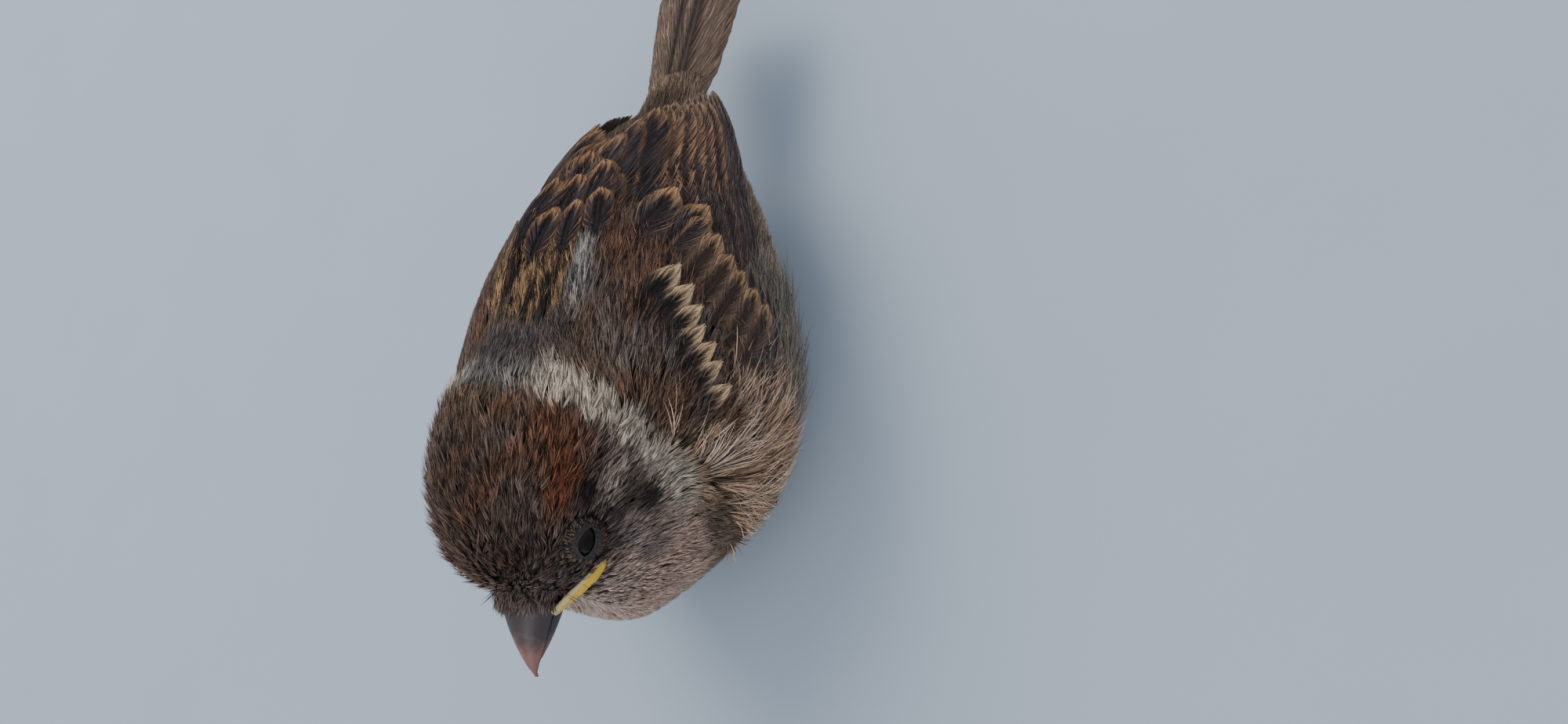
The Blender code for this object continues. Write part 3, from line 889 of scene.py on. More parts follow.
@dataclass
class Markings:
    """The bird's colours over its skin and coat."""

    body: BodySurface
    throat: str = "cbaa96"
    belly: str = "aba093"
    side: str = "8f7864"
    back: str = "58483d"
    face: str = "64554c"
    crown_rust: str = "6b452d"
    collar_dull: str = "756e68"  # in the middle of the nape
    collar_bright: str = "cdbda9"  # on the sides of the neck
    collar_half_width: float = 1.7
    streak: str = "231c1b"
    streak_buff: str = "9c7c59"
    streak_grey: str = "989490"
    streak_pitch: float = 2.6  # from one dark streak to the next

    def __post_init__(self) -> None:
        """Takes the head's own directions from the body's shape."""
        self.head_centre, self.head_axes = self.body.head_frame()

    def in_head(self, points: Array) -> Array:
        """Points in metres turned to millimetres ahead, out and above in the head."""
        return (points - self.head_centre) @ self.head_axes.T / MM

    def behind_collar(self, points: Array) -> Array:
        """Millimetres from the middle of the pale collar, more than 0 on the head's side."""
        head = self.in_head(points)
        return (head[:, 0] + 0.76 * head[:, 2] + 5.0) / 1.25

    @staticmethod
    def lay(colours: Array, points: Array, across: int, patches: tuple[Patch, ...]) -> Array:
        """Lays patches over the colours so far.

        Args:
            colours: linear colours, one row for each point.
            points: millimetres in the patches' own directions.
            across: which of these runs from side to side.
            patches: the patches in their order.

        Returns:
            The new colours.
        """
        mirrored = points.copy()
        mirrored[:, across] = abs(mirrored[:, across])
        for patch in patches:
            away = np.linalg.norm((mirrored - np.array(patch.centre)) / np.array(patch.reach), axis=1)
            share = patch.strength * (1 - smooth(1 - patch.softness, 1 + patch.softness / 2, away))
            colours = mix(colours, linear(patch.colour), share)
        return colours

    def colours(self, points: Array) -> Array:
        """The colour of the plumage's outer tips.

        Args:
            points: places in metres.

        Returns:
            Linear colours, one row for each point.
        """
        mm, head = points / MM, self.in_head(points)
        wander = ripple(mm, 5.0, 3)
        under = mix(linear(self.belly), linear(self.throat), smooth(-22, -32, mm[:, 1]))
        body = mix(under, linear(self.side), smooth(4, 16, mm[:, 2]))
        body = mix(body, linear(self.back), smooth(-1, 1, (mm[:, 2] - 20 + 3 * wander) / 12))
        body = self.streaks(self.lay(body, mm, 0, BODY_PATCHES), mm)
        face = mix(linear(self.throat), linear(self.face), smooth(-5, 0, head[:, 2] + wander))
        face = self.lay(face, head, 1, HEAD_PATCHES)
        rust = 0.55 * smooth(0.1, 1.1, ripple(mm, 4.5, 9)) * smooth(3, 7, head[:, 2])
        face = mix(face, linear(self.crown_rust), rust)
        side = smooth(3.0, 9.5, abs(head[:, 1]))
        step = self.behind_collar(points) + 0.5 * ripple(mm, 3.0, 8) - (1 - side)
        collar = mix(linear(self.collar_dull), linear(self.collar_bright), side)
        half = self.collar_half_width
        band = (1 - smooth(half * 0.5, half * 1.5, abs(step))) * smooth(-11, -6, head[:, 2])
        return mix(mix(body, face, smooth(-0.8, 0.8, step)), collar, 0.9 * band)

    def streaks(self, colours: Array, mm: Array) -> Array:
        """Lays the upper back's black and buff streaks and the grey patch beside them, which is on the left only.

        Args:
            colours: linear colours, one row for each point.
            mm: places in millimetres.

        Returns:
            The new colours.
        """
        phase = mm[:, 0] + 0.9 * ripple(mm, 9.0, 21)
        wave = np.cos(phase * FULL_TURN / self.streak_pitch)
        zone = (1 - smooth(0.7, 1.1, np.hypot(mm[:, 0] / 11.0, (mm[:, 1] + 7.5) / 8.0))) * smooth(28, 32, mm[:, 2])
        away = np.linalg.norm((mm - np.array([6.4, -8.0, 38.5])) / np.array([1.7, 6.0, 5.0]), axis=1)
        colours = mix(colours, linear(self.streak), zone * smooth(0.1, 0.7, wave))
        colours = mix(colours, linear(self.streak_buff), zone * smooth(0.0, 0.7, -wave))
        return mix(colours, linear(self.streak_grey), 0.9 * (1 - smooth(0.4, 1.3, away)))


# ---- how plumage is grown


@dataclass
class Barbs:
    """Grown barbs as arrays, ready to be a mesh."""

    values: list[Array] = field(default_factory=list)  # place, colour and place on the unwrap
    triangles: list[Array] = field(default_factory=list)
    count: int = 0
    corners: tuple[Pair, ...] = ((-0.5, 0.0), (0.5, 0.0), (0.0, 0.55))  # of the section, in widths across and up

    def add(self, centres: Array, side: Array, up: Array, widths: Array, tints: Array, places: Array) -> None:
        """Adds closed tapering barbs, flat and three-sided, pointed at both ends.

        Args:
            centres: the middle line of each barb, as (barb, step, 3), in metres.
            side: the direction across each barb.
            up: the direction off the body at each barb.
            widths: width at each step but the first and last, as (barb, step).
            tints: linear colour at every step, as (barb, step, 3).
            places: place of each step on the unwrap, as (barb, step, 2).
        """
        number, steps = centres.shape[:2]
        rings = steps - 2
        each = 2 + 3 * rings
        along = np.concatenate([centres, tints, places], 2)
        made = np.zeros((number, each, along.shape[2]))
        made[:, 0], made[:, -1] = along[:, 0], along[:, -1]
        faces = []
        for ring in range(rings):
            width = widths[:, ring, None]
            for k, (across, lift) in enumerate(self.corners):
                a, b = 1 + 3 * ring + k, 1 + 3 * ring + (k + 1) % 3
                made[:, a] = along[:, ring + 1]
                made[:, a, :3] += side * width * across + up * width * lift
                faces += [(0, b, a)] if ring == 0 else [(a - 3, b - 3, b), (a - 3, b, a)]
                faces += [(a, b, each - 1)] if ring == rings - 1 else []
        block = np.array(faces)[None] + (np.arange(number) * each)[:, None, None] + self.count
        self.values.append(made.reshape(-1, made.shape[2]))
        self.triangles.append(block.reshape(-1, 3))
        self.count += number * each

    def piece(self, name: str) -> bpy.types.Object:
        """All the barbs as one object."""
        points, tints, places = np.split(np.concatenate(self.values), [3, 6], axis=1)
        return mesh_object(name, points, np.concatenate(self.triangles), tints, {"OFBake": places})


@dataclass(frozen=True)
class Growth:
    """How a tract of contour feathers grows: each tuft is a handful of barbs fanned from one root."""

    tufts: float  # for each square millimetre
    barbs: int = 7
    length: float = 2.8
    width: float = 0.12  # a bundle of real barbs, which are too fine to show
    low: float = -1.1  # height of the root over the outline
    high: float = 0.12  # height of the tip
    loft: float = 0.8  # spread of the tips' height as a share of it
    spike: float = 0.0  # how much higher one tuft in five stands
    fan: float = 12.0  # degrees that the outer barbs splay
    waver: float = 16.0  # degrees that neighbouring tufts wander together
    stray: float = 4.0  # degrees that each tuft strays by itself
    rings: int = 1
    root_shade: float = 0.22  # brightness of the root, painted shade deep in the coat
    tip_shade: float = 1.15  # and of the tip, which stands clear of that painted shade
    dark_share: float = 0.42  # share of barbs painted darker, as painted shadow between the lit ones
    dark: float = 0.42  # their brightness, the painted shadow
    bright: float = 2.1  # brightness of the others
    uneven: float = 0.16  # spread of brightness from barb to barb
    sway: float = 0.12  # sideways bend as a share of the length


@dataclass(frozen=True)
class Tract:
    """A named area of the coat: its range of the surface's two numbers and how it grows."""

    name: str
    slot: Slot
    first: Pair  # range of a
    second: Pair  # range of b in degrees
    growth: Growth

    def on(self, side: Side) -> "Tract":
        """The same tract laid on one side of the bird and named for it."""
        span = (180 - self.second[1], 180 - self.second[0]) if side.mirrored else self.second
        return replace(self, name=f"{self.name}_{side.word}", second=span)


@dataclass(kw_only=True)
class Coat:
    """Grows contour feathers over a surface. Other kinds of plumage change where they grow, lie and colour."""

    markings: Markings
    cells: int = 90  # each way, in which a tract's roots are counted out
    reach: float = 21.3 * MM  # beyond this half width loose tips bend back in
    eye_hole: float = 2.62 * MM
    bill_start: float = 10.6  # ahead in the head
    bill_half: Pair = (3.7, 3.3)  # half its width and half its height there
    gape_span: Pair = (6.4, 12.8)  # ahead in the head
    gape_half: float = 0.7  # half the thickness that the gape keeps clear

    def __post_init__(self) -> None:
        """Finds the places that plumage spreads from."""
        self.bill_root = self.markings.body.head_point(10.8, 0.0, 0.5)
        self.breast_fans = [np.array([side.value * 12.5, -30.0, 30.0]) * MM for side in Side]

    def grows(self, a: Array, b: Array, point: Array) -> Array:
        """Which roots grow a tuft, by their two numbers and places."""
        return np.ones(len(point), bool)

    def colours(self, point: Array) -> Array:
        """The colours of tufts at places in metres."""
        return self.markings.colours(point)

    def lie(self, points: Array) -> Array:
        """The direction that plumage lies in: away from the bill, along the body, down the breast's sides.

        Args:
            points: places in metres.

        Returns:
            One direction for each point, not yet laid on the surface.
        """
        mm = points / MM
        away = unit(points - self.bill_root)
        collar = self.markings.behind_collar(points)
        sideways = np.sign(points[:, 0]) * smooth(4, 12, abs(mm[:, 0]))
        droop = -0.45 * smooth(30, 12, mm[:, 2]) * smooth(6, 14, abs(mm[:, 0]))
        back = unit(np.stack([0.12 * sideways, np.ones(len(points)), droop], 1))
        flow = mix(back, away, smooth(-4.5, 0.5, collar))
        for fan in self.breast_fans:
            offset = points - fan
            near = np.exp(-((np.linalg.norm(offset, axis=1) / (13 * MM)) ** 2))
            near *= smooth(0.5, -1.5, collar) * (np.sign(fan[0]) == np.sign(points[:, 0]))
            flow = mix(flow, unit(offset + np.array([0, 0, -2 * MM])), near)
        return unit(flow)

    def bare(self, points: Array) -> Array:
        """Finds where bill, gape and eyes keep the coat away.

        Args:
            points: places in metres.

        Returns:
            Whether each place grows nothing.
        """
        ahead, out, above = self.markings.in_head(points).T
        wide, tall = self.bill_half
        found = (ahead > self.bill_start) & (np.hypot(out / wide, (above + 0.2) / tall) < 1)
        for side in Side:
            found |= np.linalg.norm(points - self.markings.body.eye(side), axis=1) < self.eye_hole
        t = np.clip((12.6 - ahead) / 6.0, 0, 1)  # along the gape from the bill
        gape = np.hypot(abs(out) - (4.1 + 4.9 * t), above - (-0.1 - 1.4 * t)) < self.gape_half
        return found | (gape & (ahead > self.gape_span[0]) & (ahead < self.gape_span[1]))

    def roots(self, surface: Surface, tract: Tract, rng: Random) -> Two:
        """Scatters roots evenly over a tract.

        Args:
            surface: what the tract lies on.
            tract: its ranges and growth.
            rng: the random source.

        Returns:
            The two surface numbers of each root.
        """
        edges_a = np.linspace(*tract.first, self.cells + 1)
        edges_b = np.radians(np.linspace(*tract.second, self.cells + 1))
        a, b = (edges[:-1] + np.diff(edges) / 2 for edges in (edges_a, edges_b))
        grid_a, grid_b = np.meshgrid(a, b, indexing="ij")
        grid_b[1::2] = grid_b[1::2, ::-1]  # to and fro, so that neighbours follow one another
        grid_a, grid_b = grid_a.ravel(), grid_b.ravel()
        width_a, width_b = np.diff(edges_a)[0], np.diff(edges_b)[0]
        _, slope_a, slope_b, _ = surface.frame(grid_a, grid_b)
        total = np.cumsum(np.linalg.norm(np.cross(slope_a, slope_b), axis=1) * width_a * width_b)
        number = int(total[-1] / MM**2 * tract.growth.tufts)
        picks = (np.arange(number) + rng.uniform(0, 1, number)) / number * total[-1]
        cell = np.minimum(np.searchsorted(total, picks), len(total) - 1)
        root_a = grid_a[cell] + rng.uniform(-0.5, 0.5, number) * width_a
        return root_a, grid_b[cell] + rng.uniform(-0.5, 0.5, number) * width_b

    def grow(self, surface: Surface, tract: Tract, seed: int) -> None:
        """Grows one tract as a piece of its own.

        Args:
            surface: what it lies on.
            tract: where and how it grows.
            seed: the tract's own random seed.
        """
        growth = tract.growth
        rng = np.random.default_rng(SEED + seed)
        a, b = self.roots(surface, tract, rng)
        point, slope_a, slope_b, normal = surface.frame(a, b)
        alive = ~self.bare(point) & self.grows(a, b, point)
        a, b, point, slope_a, slope_b, normal = (x[alive] for x in (a, b, point, slope_a, slope_b, normal))
        flow = self.lie(point)
        flow = unit(flow - normal * (flow * normal).sum(1, keepdims=True))
        turn = growth.waver * ripple(point / MM, 4.2, 5) + growth.waver * 0.6 * ripple(point / MM, 1.9, 6)
        turn = np.radians(turn + growth.stray * rng.normal(size=len(a)))[:, None]
        flow = flow * np.cos(turn) + np.cross(normal, flow) * np.sin(turn)
        face = smooth(4.0, 11.0, self.markings.in_head(point)[:, 0]) * (self.markings.behind_collar(point) > 0)
        tufts = (a, b, slope_a, slope_b, normal, flow, self.colours(point), face)
        wear(self.fan_out(surface, growth, tufts, rng).piece(tract.name), DOWNY, tract.slot)

    def fan_out(self, surface: Surface, growth: Growth, tufts: tuple[Array, ...], rng: Random) -> Barbs:
        """Spreads a handful of barbs from each tuft's root.

        Args:
            surface: what they lie on.
            growth: how they grow.
            tufts: each root's two surface numbers, the slopes along them, its normal, the direction that it lies
                in, its colour and the share by which it stands on the face, where tufts are smallest.
            rng: the random source.

        Returns:
            The barbs.
        """
        number, fan = shape = (len(tufts[0]), growth.barbs)
        small = 1 - 0.4 * tufts[-1]
        size = growth.length * small * rng.uniform(0.8, 1.25, number)
        spread = np.linspace(-1, 1, fan)
        lean = spread + rng.uniform(-0.35, 0.35, shape)
        long = size[:, None] * (1 - 0.25 * abs(spread)) * rng.uniform(0.8, 1.15, shape) * MM
        # painted shadow: a share of the barbs is darker, as if shaded by the barbs over them
        bright = np.where(rng.uniform(size=shape) < growth.dark_share, growth.dark, growth.bright)
        bright = bright * np.exp(growth.uneven * rng.normal(size=shape) + 0.14 * rng.normal(size=(number, 1)))
        bend = growth.sway * rng.normal(size=(number, 1)) - 0.35 * lean * math.radians(growth.fan)
        tall = growth.high * (1 + growth.loft * rng.normal(size=shape)) * small[:, None]
        stand = growth.spike * (rng.uniform(size=number) < 0.2) * rng.uniform(0.4, 1.0, number)
        tall = tall + stand[:, None]
        widths = growth.width * rng.uniform(0.75, 1.3, shape) * MM
        lean, long, bright, bend, tall, widths = (x.reshape(-1, 1) for x in (lean, long, bright, bend, tall, widths))
        a, b, slope_a, slope_b, normal, flow, colour, face = (np.repeat(x, fan, axis=0) for x in tufts)
        deep = growth.low * (1 - 0.35 * face)[:, None]
        angle = np.radians(growth.fan) * lean
        heading = flow * np.cos(angle) + np.cross(normal, flow) * np.sin(angle)
        across = np.cross(normal, heading)
        steps = np.linspace(0, 1, growth.rings + 2) if growth.rings > 1 else np.array([0.0, 0.45, 1.0])
        profile = np.sin(np.pi * np.linspace(0.25, 0.8, growth.rings)) if growth.rings > 1 else np.ones(1)
        patch = surface.unwrap(a, b) + TUFT * np.stack([np.tile(np.arange(fan), number) / fan - 0.5, 0 * a], 1)
        centres, tints, places = [], [], []
        for t in steps:
            move = (heading * t + across * (bend * t * t)) * long
            step_a, step_b = surface.step(slope_a, slope_b, move)
            height = deep + (tall - deep) * t**0.75
            centres.append(surface.place(a + step_a, b + step_b) + normal * (height * MM))
            # painted shade: each barb darkens toward its root, deep in the coat, and is lighter at its tip
            shade = growth.root_shade + (growth.tip_shade - growth.root_shade) * t**0.8
            tints.append(colour * (bright * shade))
            places.append(patch + [0.0, TUFT * (t - 0.5)])
        middle = np.stack(centres, 1)
        middle[:, :, 2] = np.maximum(middle[:, :, 2], 0.02 * MM)
        middle[:, :, 0] -= 0.7 * (middle[:, :, 0] - np.clip(middle[:, :, 0], -self.reach, self.reach))
        made = Barbs()
        made.add(middle, across, normal, widths * profile, np.stack(tints, 1), np.stack(places, 1))
        return made


DOWNY = DownyBarbs("contour_feather_downy", 0.75)
FACE = Growth(tufts=5.2, length=2.4, width=0.12, low=-0.8, high=0.1, fan=10, waver=12)
CROWN = Growth(
    tufts=4.4, length=3.4, width=0.12, low=-0.9, high=0.14, spike=0.9, fan=8, waver=13, stray=2.5, bright=2.3
)
BACKS = Growth(tufts=3.0, length=3.8, width=0.14, low=-1.2, fan=9, waver=14, bright=2.3)
LOOSE = Growth(tufts=1.9, length=5.4, width=0.15, low=-1.4, high=0.15, fan=10, waver=10, rings=2, root_shade=0.35)
UNDER = Growth(
    tufts=2.6, length=4.4, width=0.15, low=-1.2, high=0.2, waver=12, stray=6, root_shade=0.5, dark=0.9, bright=1.7
)
SMOOTH = Growth(
    tufts=3.8, length=4.4, width=0.11, low=-0.7, high=0.1, fan=4, waver=10, stray=1.8,
    dark_share=0.48, dark=0.38, bright=2.7,
)
PLUME = Growth(
    tufts=1.3, length=8.0, width=0.15, low=-0.8, high=0.9, loft=0.5, fan=13, waver=8, stray=7, rings=3,
    root_shade=0.35, dark=0.7, bright=1.9, sway=0.2,
)
FLUFF = Growth(
    tufts=0.5, length=6.5, width=0.1, low=-0.6, high=1.2, loft=0.5, fan=18, waver=10, stray=12, rings=3,
    root_shade=0.5, dark=0.7, bright=1.5, sway=0.35,
)

TRACTS = (
    Tract("coat_crown", Slot.CROWN, (0.15, 6.2), (25, 155), CROWN),
    Tract("coat_face_left", Slot.CROWN, (0.15, 6.2), (-40, 25), FACE),
    Tract("coat_face_right", Slot.CROWN, (0.15, 6.2), (155, 220), FACE),
    Tract("coat_throat", Slot.MANTLE, (0.15, 7.2), (220, 320), UNDER),
    Tract("coat_nape", Slot.MANTLE, (6.2, 8.2), (25, 155), BACKS),
    Tract("coat_mantle", Slot.MANTLE, (8.2, 11.2), (25, 155), BACKS),
    Tract("coat_rump", Slot.MANTLE, (11.2, 14.95), (0, 180), BACKS),
    Tract("coat_side_left", Slot.MANTLE, (6.2, 11.2), (-50, 25), LOOSE),
    Tract("coat_side_right", Slot.MANTLE, (6.2, 11.2), (155, 230), LOOSE),
    Tract("coat_breast", Slot.MANTLE, (7.2, 11.2), (230, 310), UNDER),
    Tract("coat_belly", Slot.MANTLE, (11.2, 14.95), (180, 360), UNDER),
)
PLUMES = Tract("coat_plumes", Slot.MANTLE, (6.2, 10.5), (-60, 40), PLUME)
DOWN = Tract("coat_fluff", Slot.MANTLE, (8.0, 12.5), (-32, 24), FLUFF)
SHOULDERS = Tract("coat_shoulder", Slot.WING, (-26, 6), (18, 78), SMOOTH)


@dataclass(kw_only=True)
class BodyCoat(Coat):
    """The close coat of head, neck and trunk, which leaves out what the folded wings cover."""

    envelope: Envelope
    wing_edge: float = math.radians(11.0)  # above the middle line, where a folded wing starts to cover the flank
    wing_end: float = 11.0  # along the body, from which the wings only lie loosely over the rump

    def grows(self, a: Array, b: Array, point: Array) -> Array:
        """Finds the roots that aren't well inside the area under a folded wing.

        Args:
            a: first surface number of each root; not used.
            b: second surface number of each root; not used.
            point: its place in metres.

        Returns:
            Whether each root grows a tuft.
        """
        mm = point / MM
        turn = np.arctan2(mm[:, 2] - self.envelope.height(mm[:, 1]), mm[:, 0])
        turn = np.where(turn < -math.pi / 2, turn + FULL_TURN, turn)
        low = np.minimum(turn, math.pi - turn) < self.wing_edge
        return (self.envelope.look_up(self.envelope.winged, mm[:, 1], turn) < 0.75) | low | (mm[:, 1] > self.wing_end)


@dataclass(kw_only=True)
class BreastPlumes(Coat):
    """Long loose plumes that spread from one side of the breast below the collar."""

    side: Side
    spread: float = 17.0  # how far from their middle they grow
    ceiling: float = 31.5  # and how high
    buff: str = "ae8f75"
    cream: str = "c8b5a2"

    @property
    def middle(self) -> Array:
        """The place that they spread from."""
        return np.array([self.side.value * 13.0, -30.5, 29.0])

    def grows(self, a: Array, b: Array, point: Array) -> Array:
        """Which roots are near the plumes' middle and below the collar."""
        mm, collar = point / MM, self.markings.behind_collar(point)
        return (np.linalg.norm(mm - self.middle, axis=1) < self.spread) & (collar < 0.8) & (mm[:, 2] < self.ceiling)

    def lie(self, points: Array) -> Array:
        """Outward from the plumes' middle, and back."""
        return unit(points / MM - self.middle + np.array([0.3 * self.side.value, 2.2, -1.0]))

    def colours(self, point: Array) -> Array:
        """Buff with cream in it."""
        return mix(linear(self.buff), linear(self.cream), 0.6 * smooth(-0.2, 0.8, ripple(point / MM, 4.0, 41)))


@dataclass(kw_only=True)
class FlankDown(Coat):
    """Grey-cream down that spills over the lower edge of one folded wing."""

    side: Side
    span: Pair = (-24.0, -3.0)  # along the body
    ceiling: float = 23.0
    grey_cream: str = "81766a"

    def grows(self, a: Array, b: Array, point: Array) -> Array:
        """Which roots are on the flank."""
        mm = point / MM
        return (mm[:, 1] > self.span[0]) & (mm[:, 1] < self.span[1]) & (mm[:, 2] < self.ceiling)

    def lie(self, points: Array) -> Array:
        """Back, and a little out and up."""
        return np.tile(unit(np.array([0.25 * self.side.value, 1.0, 0.28])), (len(points), 1))

    def colours(self, point: Array) -> Array:
        """One dull colour."""
        return np.tile(linear(self.grey_cream), (len(point), 1))


@dataclass(kw_only=True)
class ShoulderCoverts(Coat):
    """The small smooth coverts and scapulars over the front of one wing."""

    side: Side
    brown: str = "5f4b3f"
    grey: str = "635a54"
    rust: str = "6b4630"

    @staticmethod
    def fold_line(y: Array) -> Array:
        """The lower border of the small coverts in degrees, at a distance along the body."""
        return 41 + np.where(y < -6, (y + 6) * 1.26, (y + 6) * 3.3)

    def grows(self, a: Array, b: Array, point: Array) -> Array:
        """Which roots are above the border and behind the collar."""
        turn = 180 - np.degrees(b) if self.side.mirrored else np.degrees(b)
        return (turn > self.fold_line(a)) & (self.markings.behind_collar(point) < -2.0)

    def colours(self, point: Array) -> Array:
        """Grey-brown and rusty clouds that pass into the back's own colours at the inner border.

        Args:
            point: places in metres.

        Returns:
            Linear colours, one row for each point.
        """
        mm = point / MM
        wander = ripple(mm, 6.0, 12)
        made = mix(linear(self.brown), linear(self.grey), 0.7 * smooth(0.2, 1.0, wander))
        made = mix(made, linear(self.rust), 0.5 * smooth(0.1, 0.9, -wander))
        return mix(made, super().colours(point), smooth(8.5, 6.0, abs(mm[:, 0])))


@dataclass
class Plumage:
    """All the contour feathers, and the one skin under them that stands for head, neck and trunk."""

    body: BodySurface
    envelope: Envelope
    markings: Markings
    skin_cells: int = 150  # round the body and along it
    skin_shade: float = 0.5  # painted shade: the skin is this much darker than the coat over it, for the shade deep between the tufts
    nasal_tufts: int = 720
    bristles: int = 9  # on each side

    @staticmethod
    def depth(a: Array) -> Array:
        """How far the skin lies under the outline: least at the bill, most at the breast, little at the tail."""
        front = 0.3 + 0.2 * smooth(0.0, 1.5, a) + 0.35 * smooth(2.0, 4.0, a)
        return front + 0.35 * smooth(5.0, 8.0, a) - 0.7 * smooth(12.5, 14.0, a)

    def make(self) -> None:
        """Builds all of it."""
        self.make_skin()
        coat = BodyCoat(markings=self.markings, envelope=self.envelope)
        for number, tract in enumerate(TRACTS):
            coat.grow(self.body, tract, number)
        self.make_nasal()
        for tract, kind, seed in ((PLUMES, BreastPlumes, 33), (DOWN, FlankDown, 36)):
            for side in Side:
                coat = kind(markings=self.markings, side=side)
                coat.grow(self.body, tract.on(side), seed + side.value)

    def make_skin(self) -> None:
        """The skin, closed at the bill and at the tail."""
        turn = np.linspace(0, FULL_TURN, self.skin_cells, endpoint=False) - math.pi / 2
        a, b = grid(np.linspace(0, LAST, self.skin_cells), turn)
        point, _, _, normal = self.body.frame(a, b)
        inner = point - normal * (self.depth(a) * MM)[:, None]
        inner[:, 2] = np.maximum(inner[:, 2], 0.05 * MM)
        points, triangles = loft(inner.reshape(self.skin_cells, self.skin_cells, 3), True)
        place = np.concatenate([self.body.unwrap(a, b), [[0.5, 0.01], [0.5, 0.99]]])
        # painted shade where the skin shows between tufts
        tint = self.markings.colours(points) * self.skin_shade
        skin = mesh_object("skin", points, triangles, tint, {"OFBake": place})
        finish = Skin("bird_skin_downy", 0.7, 1.4, painted=True, scatter=0.05)
        wear(skin, finish, Slot.MANTLE, ("head", "neck", "trunk"))

    def make_nasal(self) -> None:
        """Small feathers that lie forward over the bill's root, and the black bristles over the gape."""
        ahead, out, above = self.markings.head_axes
        rng = np.random.default_rng(SEED + 31)
        number, fan = self.nasal_tufts, 6
        turn = np.radians(rng.uniform(-110, 290, number))
        ring = rng.uniform(1.0, 1.28, number)
        across, up = np.cos(turn)[:, None], np.sin(turn)[:, None]
        root = self.body.head_point(11.8, 0, -0.1) + (out * across * 3.3 + above * up * 3.0) * ring[:, None] * MM
        root = root - ahead * rng.uniform(0.4, 3.8, (number, 1)) * MM
        beside = (abs(np.cos(turn)) > 0.8) & (abs(np.sin(turn) + 0.12) < 0.3)  # where the gape is
        radial = out * across + above * up
        root, radial, turn = (x[~beside] for x in (root, radial, turn))
        shape = number, fan = len(root), fan
        lean = np.linspace(-16, 16, fan) + 7 * rng.normal(size=shape) + 12 * rng.normal(size=(number, 1))
        lean = np.radians(lean)[..., None]
        lift = (0.02 + 0.12 * rng.uniform(size=shape))[..., None]
        side = np.cross(ahead, radial)[:, None]
        heading = unit(ahead * np.cos(lean) + side * np.sin(lean) + radial[:, None] * lift).reshape(-1, 3)
        top = smooth(-0.2, 0.5, np.sin(turn))[:, None]
        length = ((0.8 + 1.2 * top) * rng.uniform(0.7, 1.25, shape) * MM).reshape(-1, 1)
        curl = np.repeat(0.25 * rng.normal(size=(number, 1)) - 0.12, fan, 0)
        start, up = np.repeat(root, fan, 0), np.repeat(radial, fan, 0)
        steps = (0.0, 0.33, 0.7, 1.0)
        centres = np.stack([start + length * (heading * s + up * curl * s * s) for s in steps], 1)
        # painted shade: almost half the barbs are darker, and each darkens toward its root
        bright = np.where(rng.uniform(size=number * fan) < 0.45, 0.5, 1.5)[:, None]
        colour = np.repeat(self.markings.colours(root - ahead * 1.5 * MM) * 1.3, fan, 0)
        tints = colour[:, None] * (bright * np.array([0.5, 0.8, 1.0, 1.15]))[..., None]
        place = np.repeat(np.stack([0.5 + 0.3 * np.cos(turn), 0.03 + 0.02 * np.sin(turn)], 1), fan, 0)
        places = np.stack([place + [0.0, TUFT * (s - 0.5)] for s in steps], 1)
        widths = np.tile(np.array([0.13, 0.1]) * MM, (number * fan, 1))
        barbs = Barbs()
        barbs.add(centres, unit(np.cross(up, heading)), up, widths, tints, places)
        self.add_bristles(barbs, rng)
        wear(barbs.piece("coat_nasal"), DOWNY, Slot.CROWN)

    def add_bristles(self, barbs: Barbs, rng: Random) -> None:
        """Adds black bristles that stand over both sides of the gape.

        Args:
            barbs: where they are added.
            rng: the random source.
        """
        number, axes = self.bristles, self.markings.head_axes
        for sign in (side.value for side in Side):
            t = rng.uniform(0, 1, number)
            root = np.array([self.body.head_point(11.6 - 4.0 * s, sign * (4.0 + 3.2 * s), 1.2 - 1.4 * s) for s in t])
            share = [rng.uniform(low, high, (number, 1)) for low, high in ((0.5, 1.0), (0.5, 0.9), (0.2, 0.7))]
            heading = unit(axes[0] * share[0] + axes[1] * sign * share[1] - axes[2] * share[2])
            length = rng.uniform(1.8, 3.2, (number, 1)) * MM
            up = np.tile(axes[1] * sign, (number, 1))
            steps = np.linspace(0, 1, 5)
            centres = np.stack([root + length * (heading * s - axes[2] * 0.4 * s * s) for s in steps], 1)
            tints = np.tile(linear("17110f"), (number, len(steps), 1))
            places = np.tile(np.array([0.5, 0.02]), (number, len(steps), 1))
            widths = np.tile(np.array([0.06, 0.05, 0.035]) * MM, (number, 1))
            barbs.add(centres, unit(np.cross(heading, up)), up, widths, tints, places)


# ---- vaned feathers


@dataclass
class TailPlane(Surface):
    """The upper side of the closed tail: distance along the body and across it."""

    reach_a = 0.3
    reach_b = 0.3
    outside = -1.0
    stray = (0.25, 0.1)
    arch: float = 1.1  # by how much the middle stands up
    end_height: float = 1.7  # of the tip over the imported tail's underside
    unwrapped: float = 40  # side of the square that the unwrap shows

    def __post_init__(self) -> None:
        """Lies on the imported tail."""
        self.low, self.high = (np.array(corner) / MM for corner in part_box("tail"))
        self.root, self.end = self.high[2], self.low[2] + self.end_height

    def place(self, a: Array, b: Array) -> Array:
        """Points on an arched plane that sinks to the tip.

        Args:
            a: distance along the body.
            b: distance to the left.

        Returns:
            Points in metres.
        """
        share = (a - self.low[1]) / (self.high[1] - self.low[1])
        height = self.root + (self.end - self.root) * share - self.arch * (b / self.high[0]) ** 2
        return np.stack([b, a, height], 1) * MM

    def unwrap(self, a: Array, b: Array) -> Array:
        """Across and along the tail."""
        return np.stack([0.5 + b / self.unwrapped, (a - self.low[1]) / self.unwrapped], 1)

    def second(self, b: Array, side: Side) -> Array:
        """The distance across for one that a table gives for the left side."""
        return b * side.value


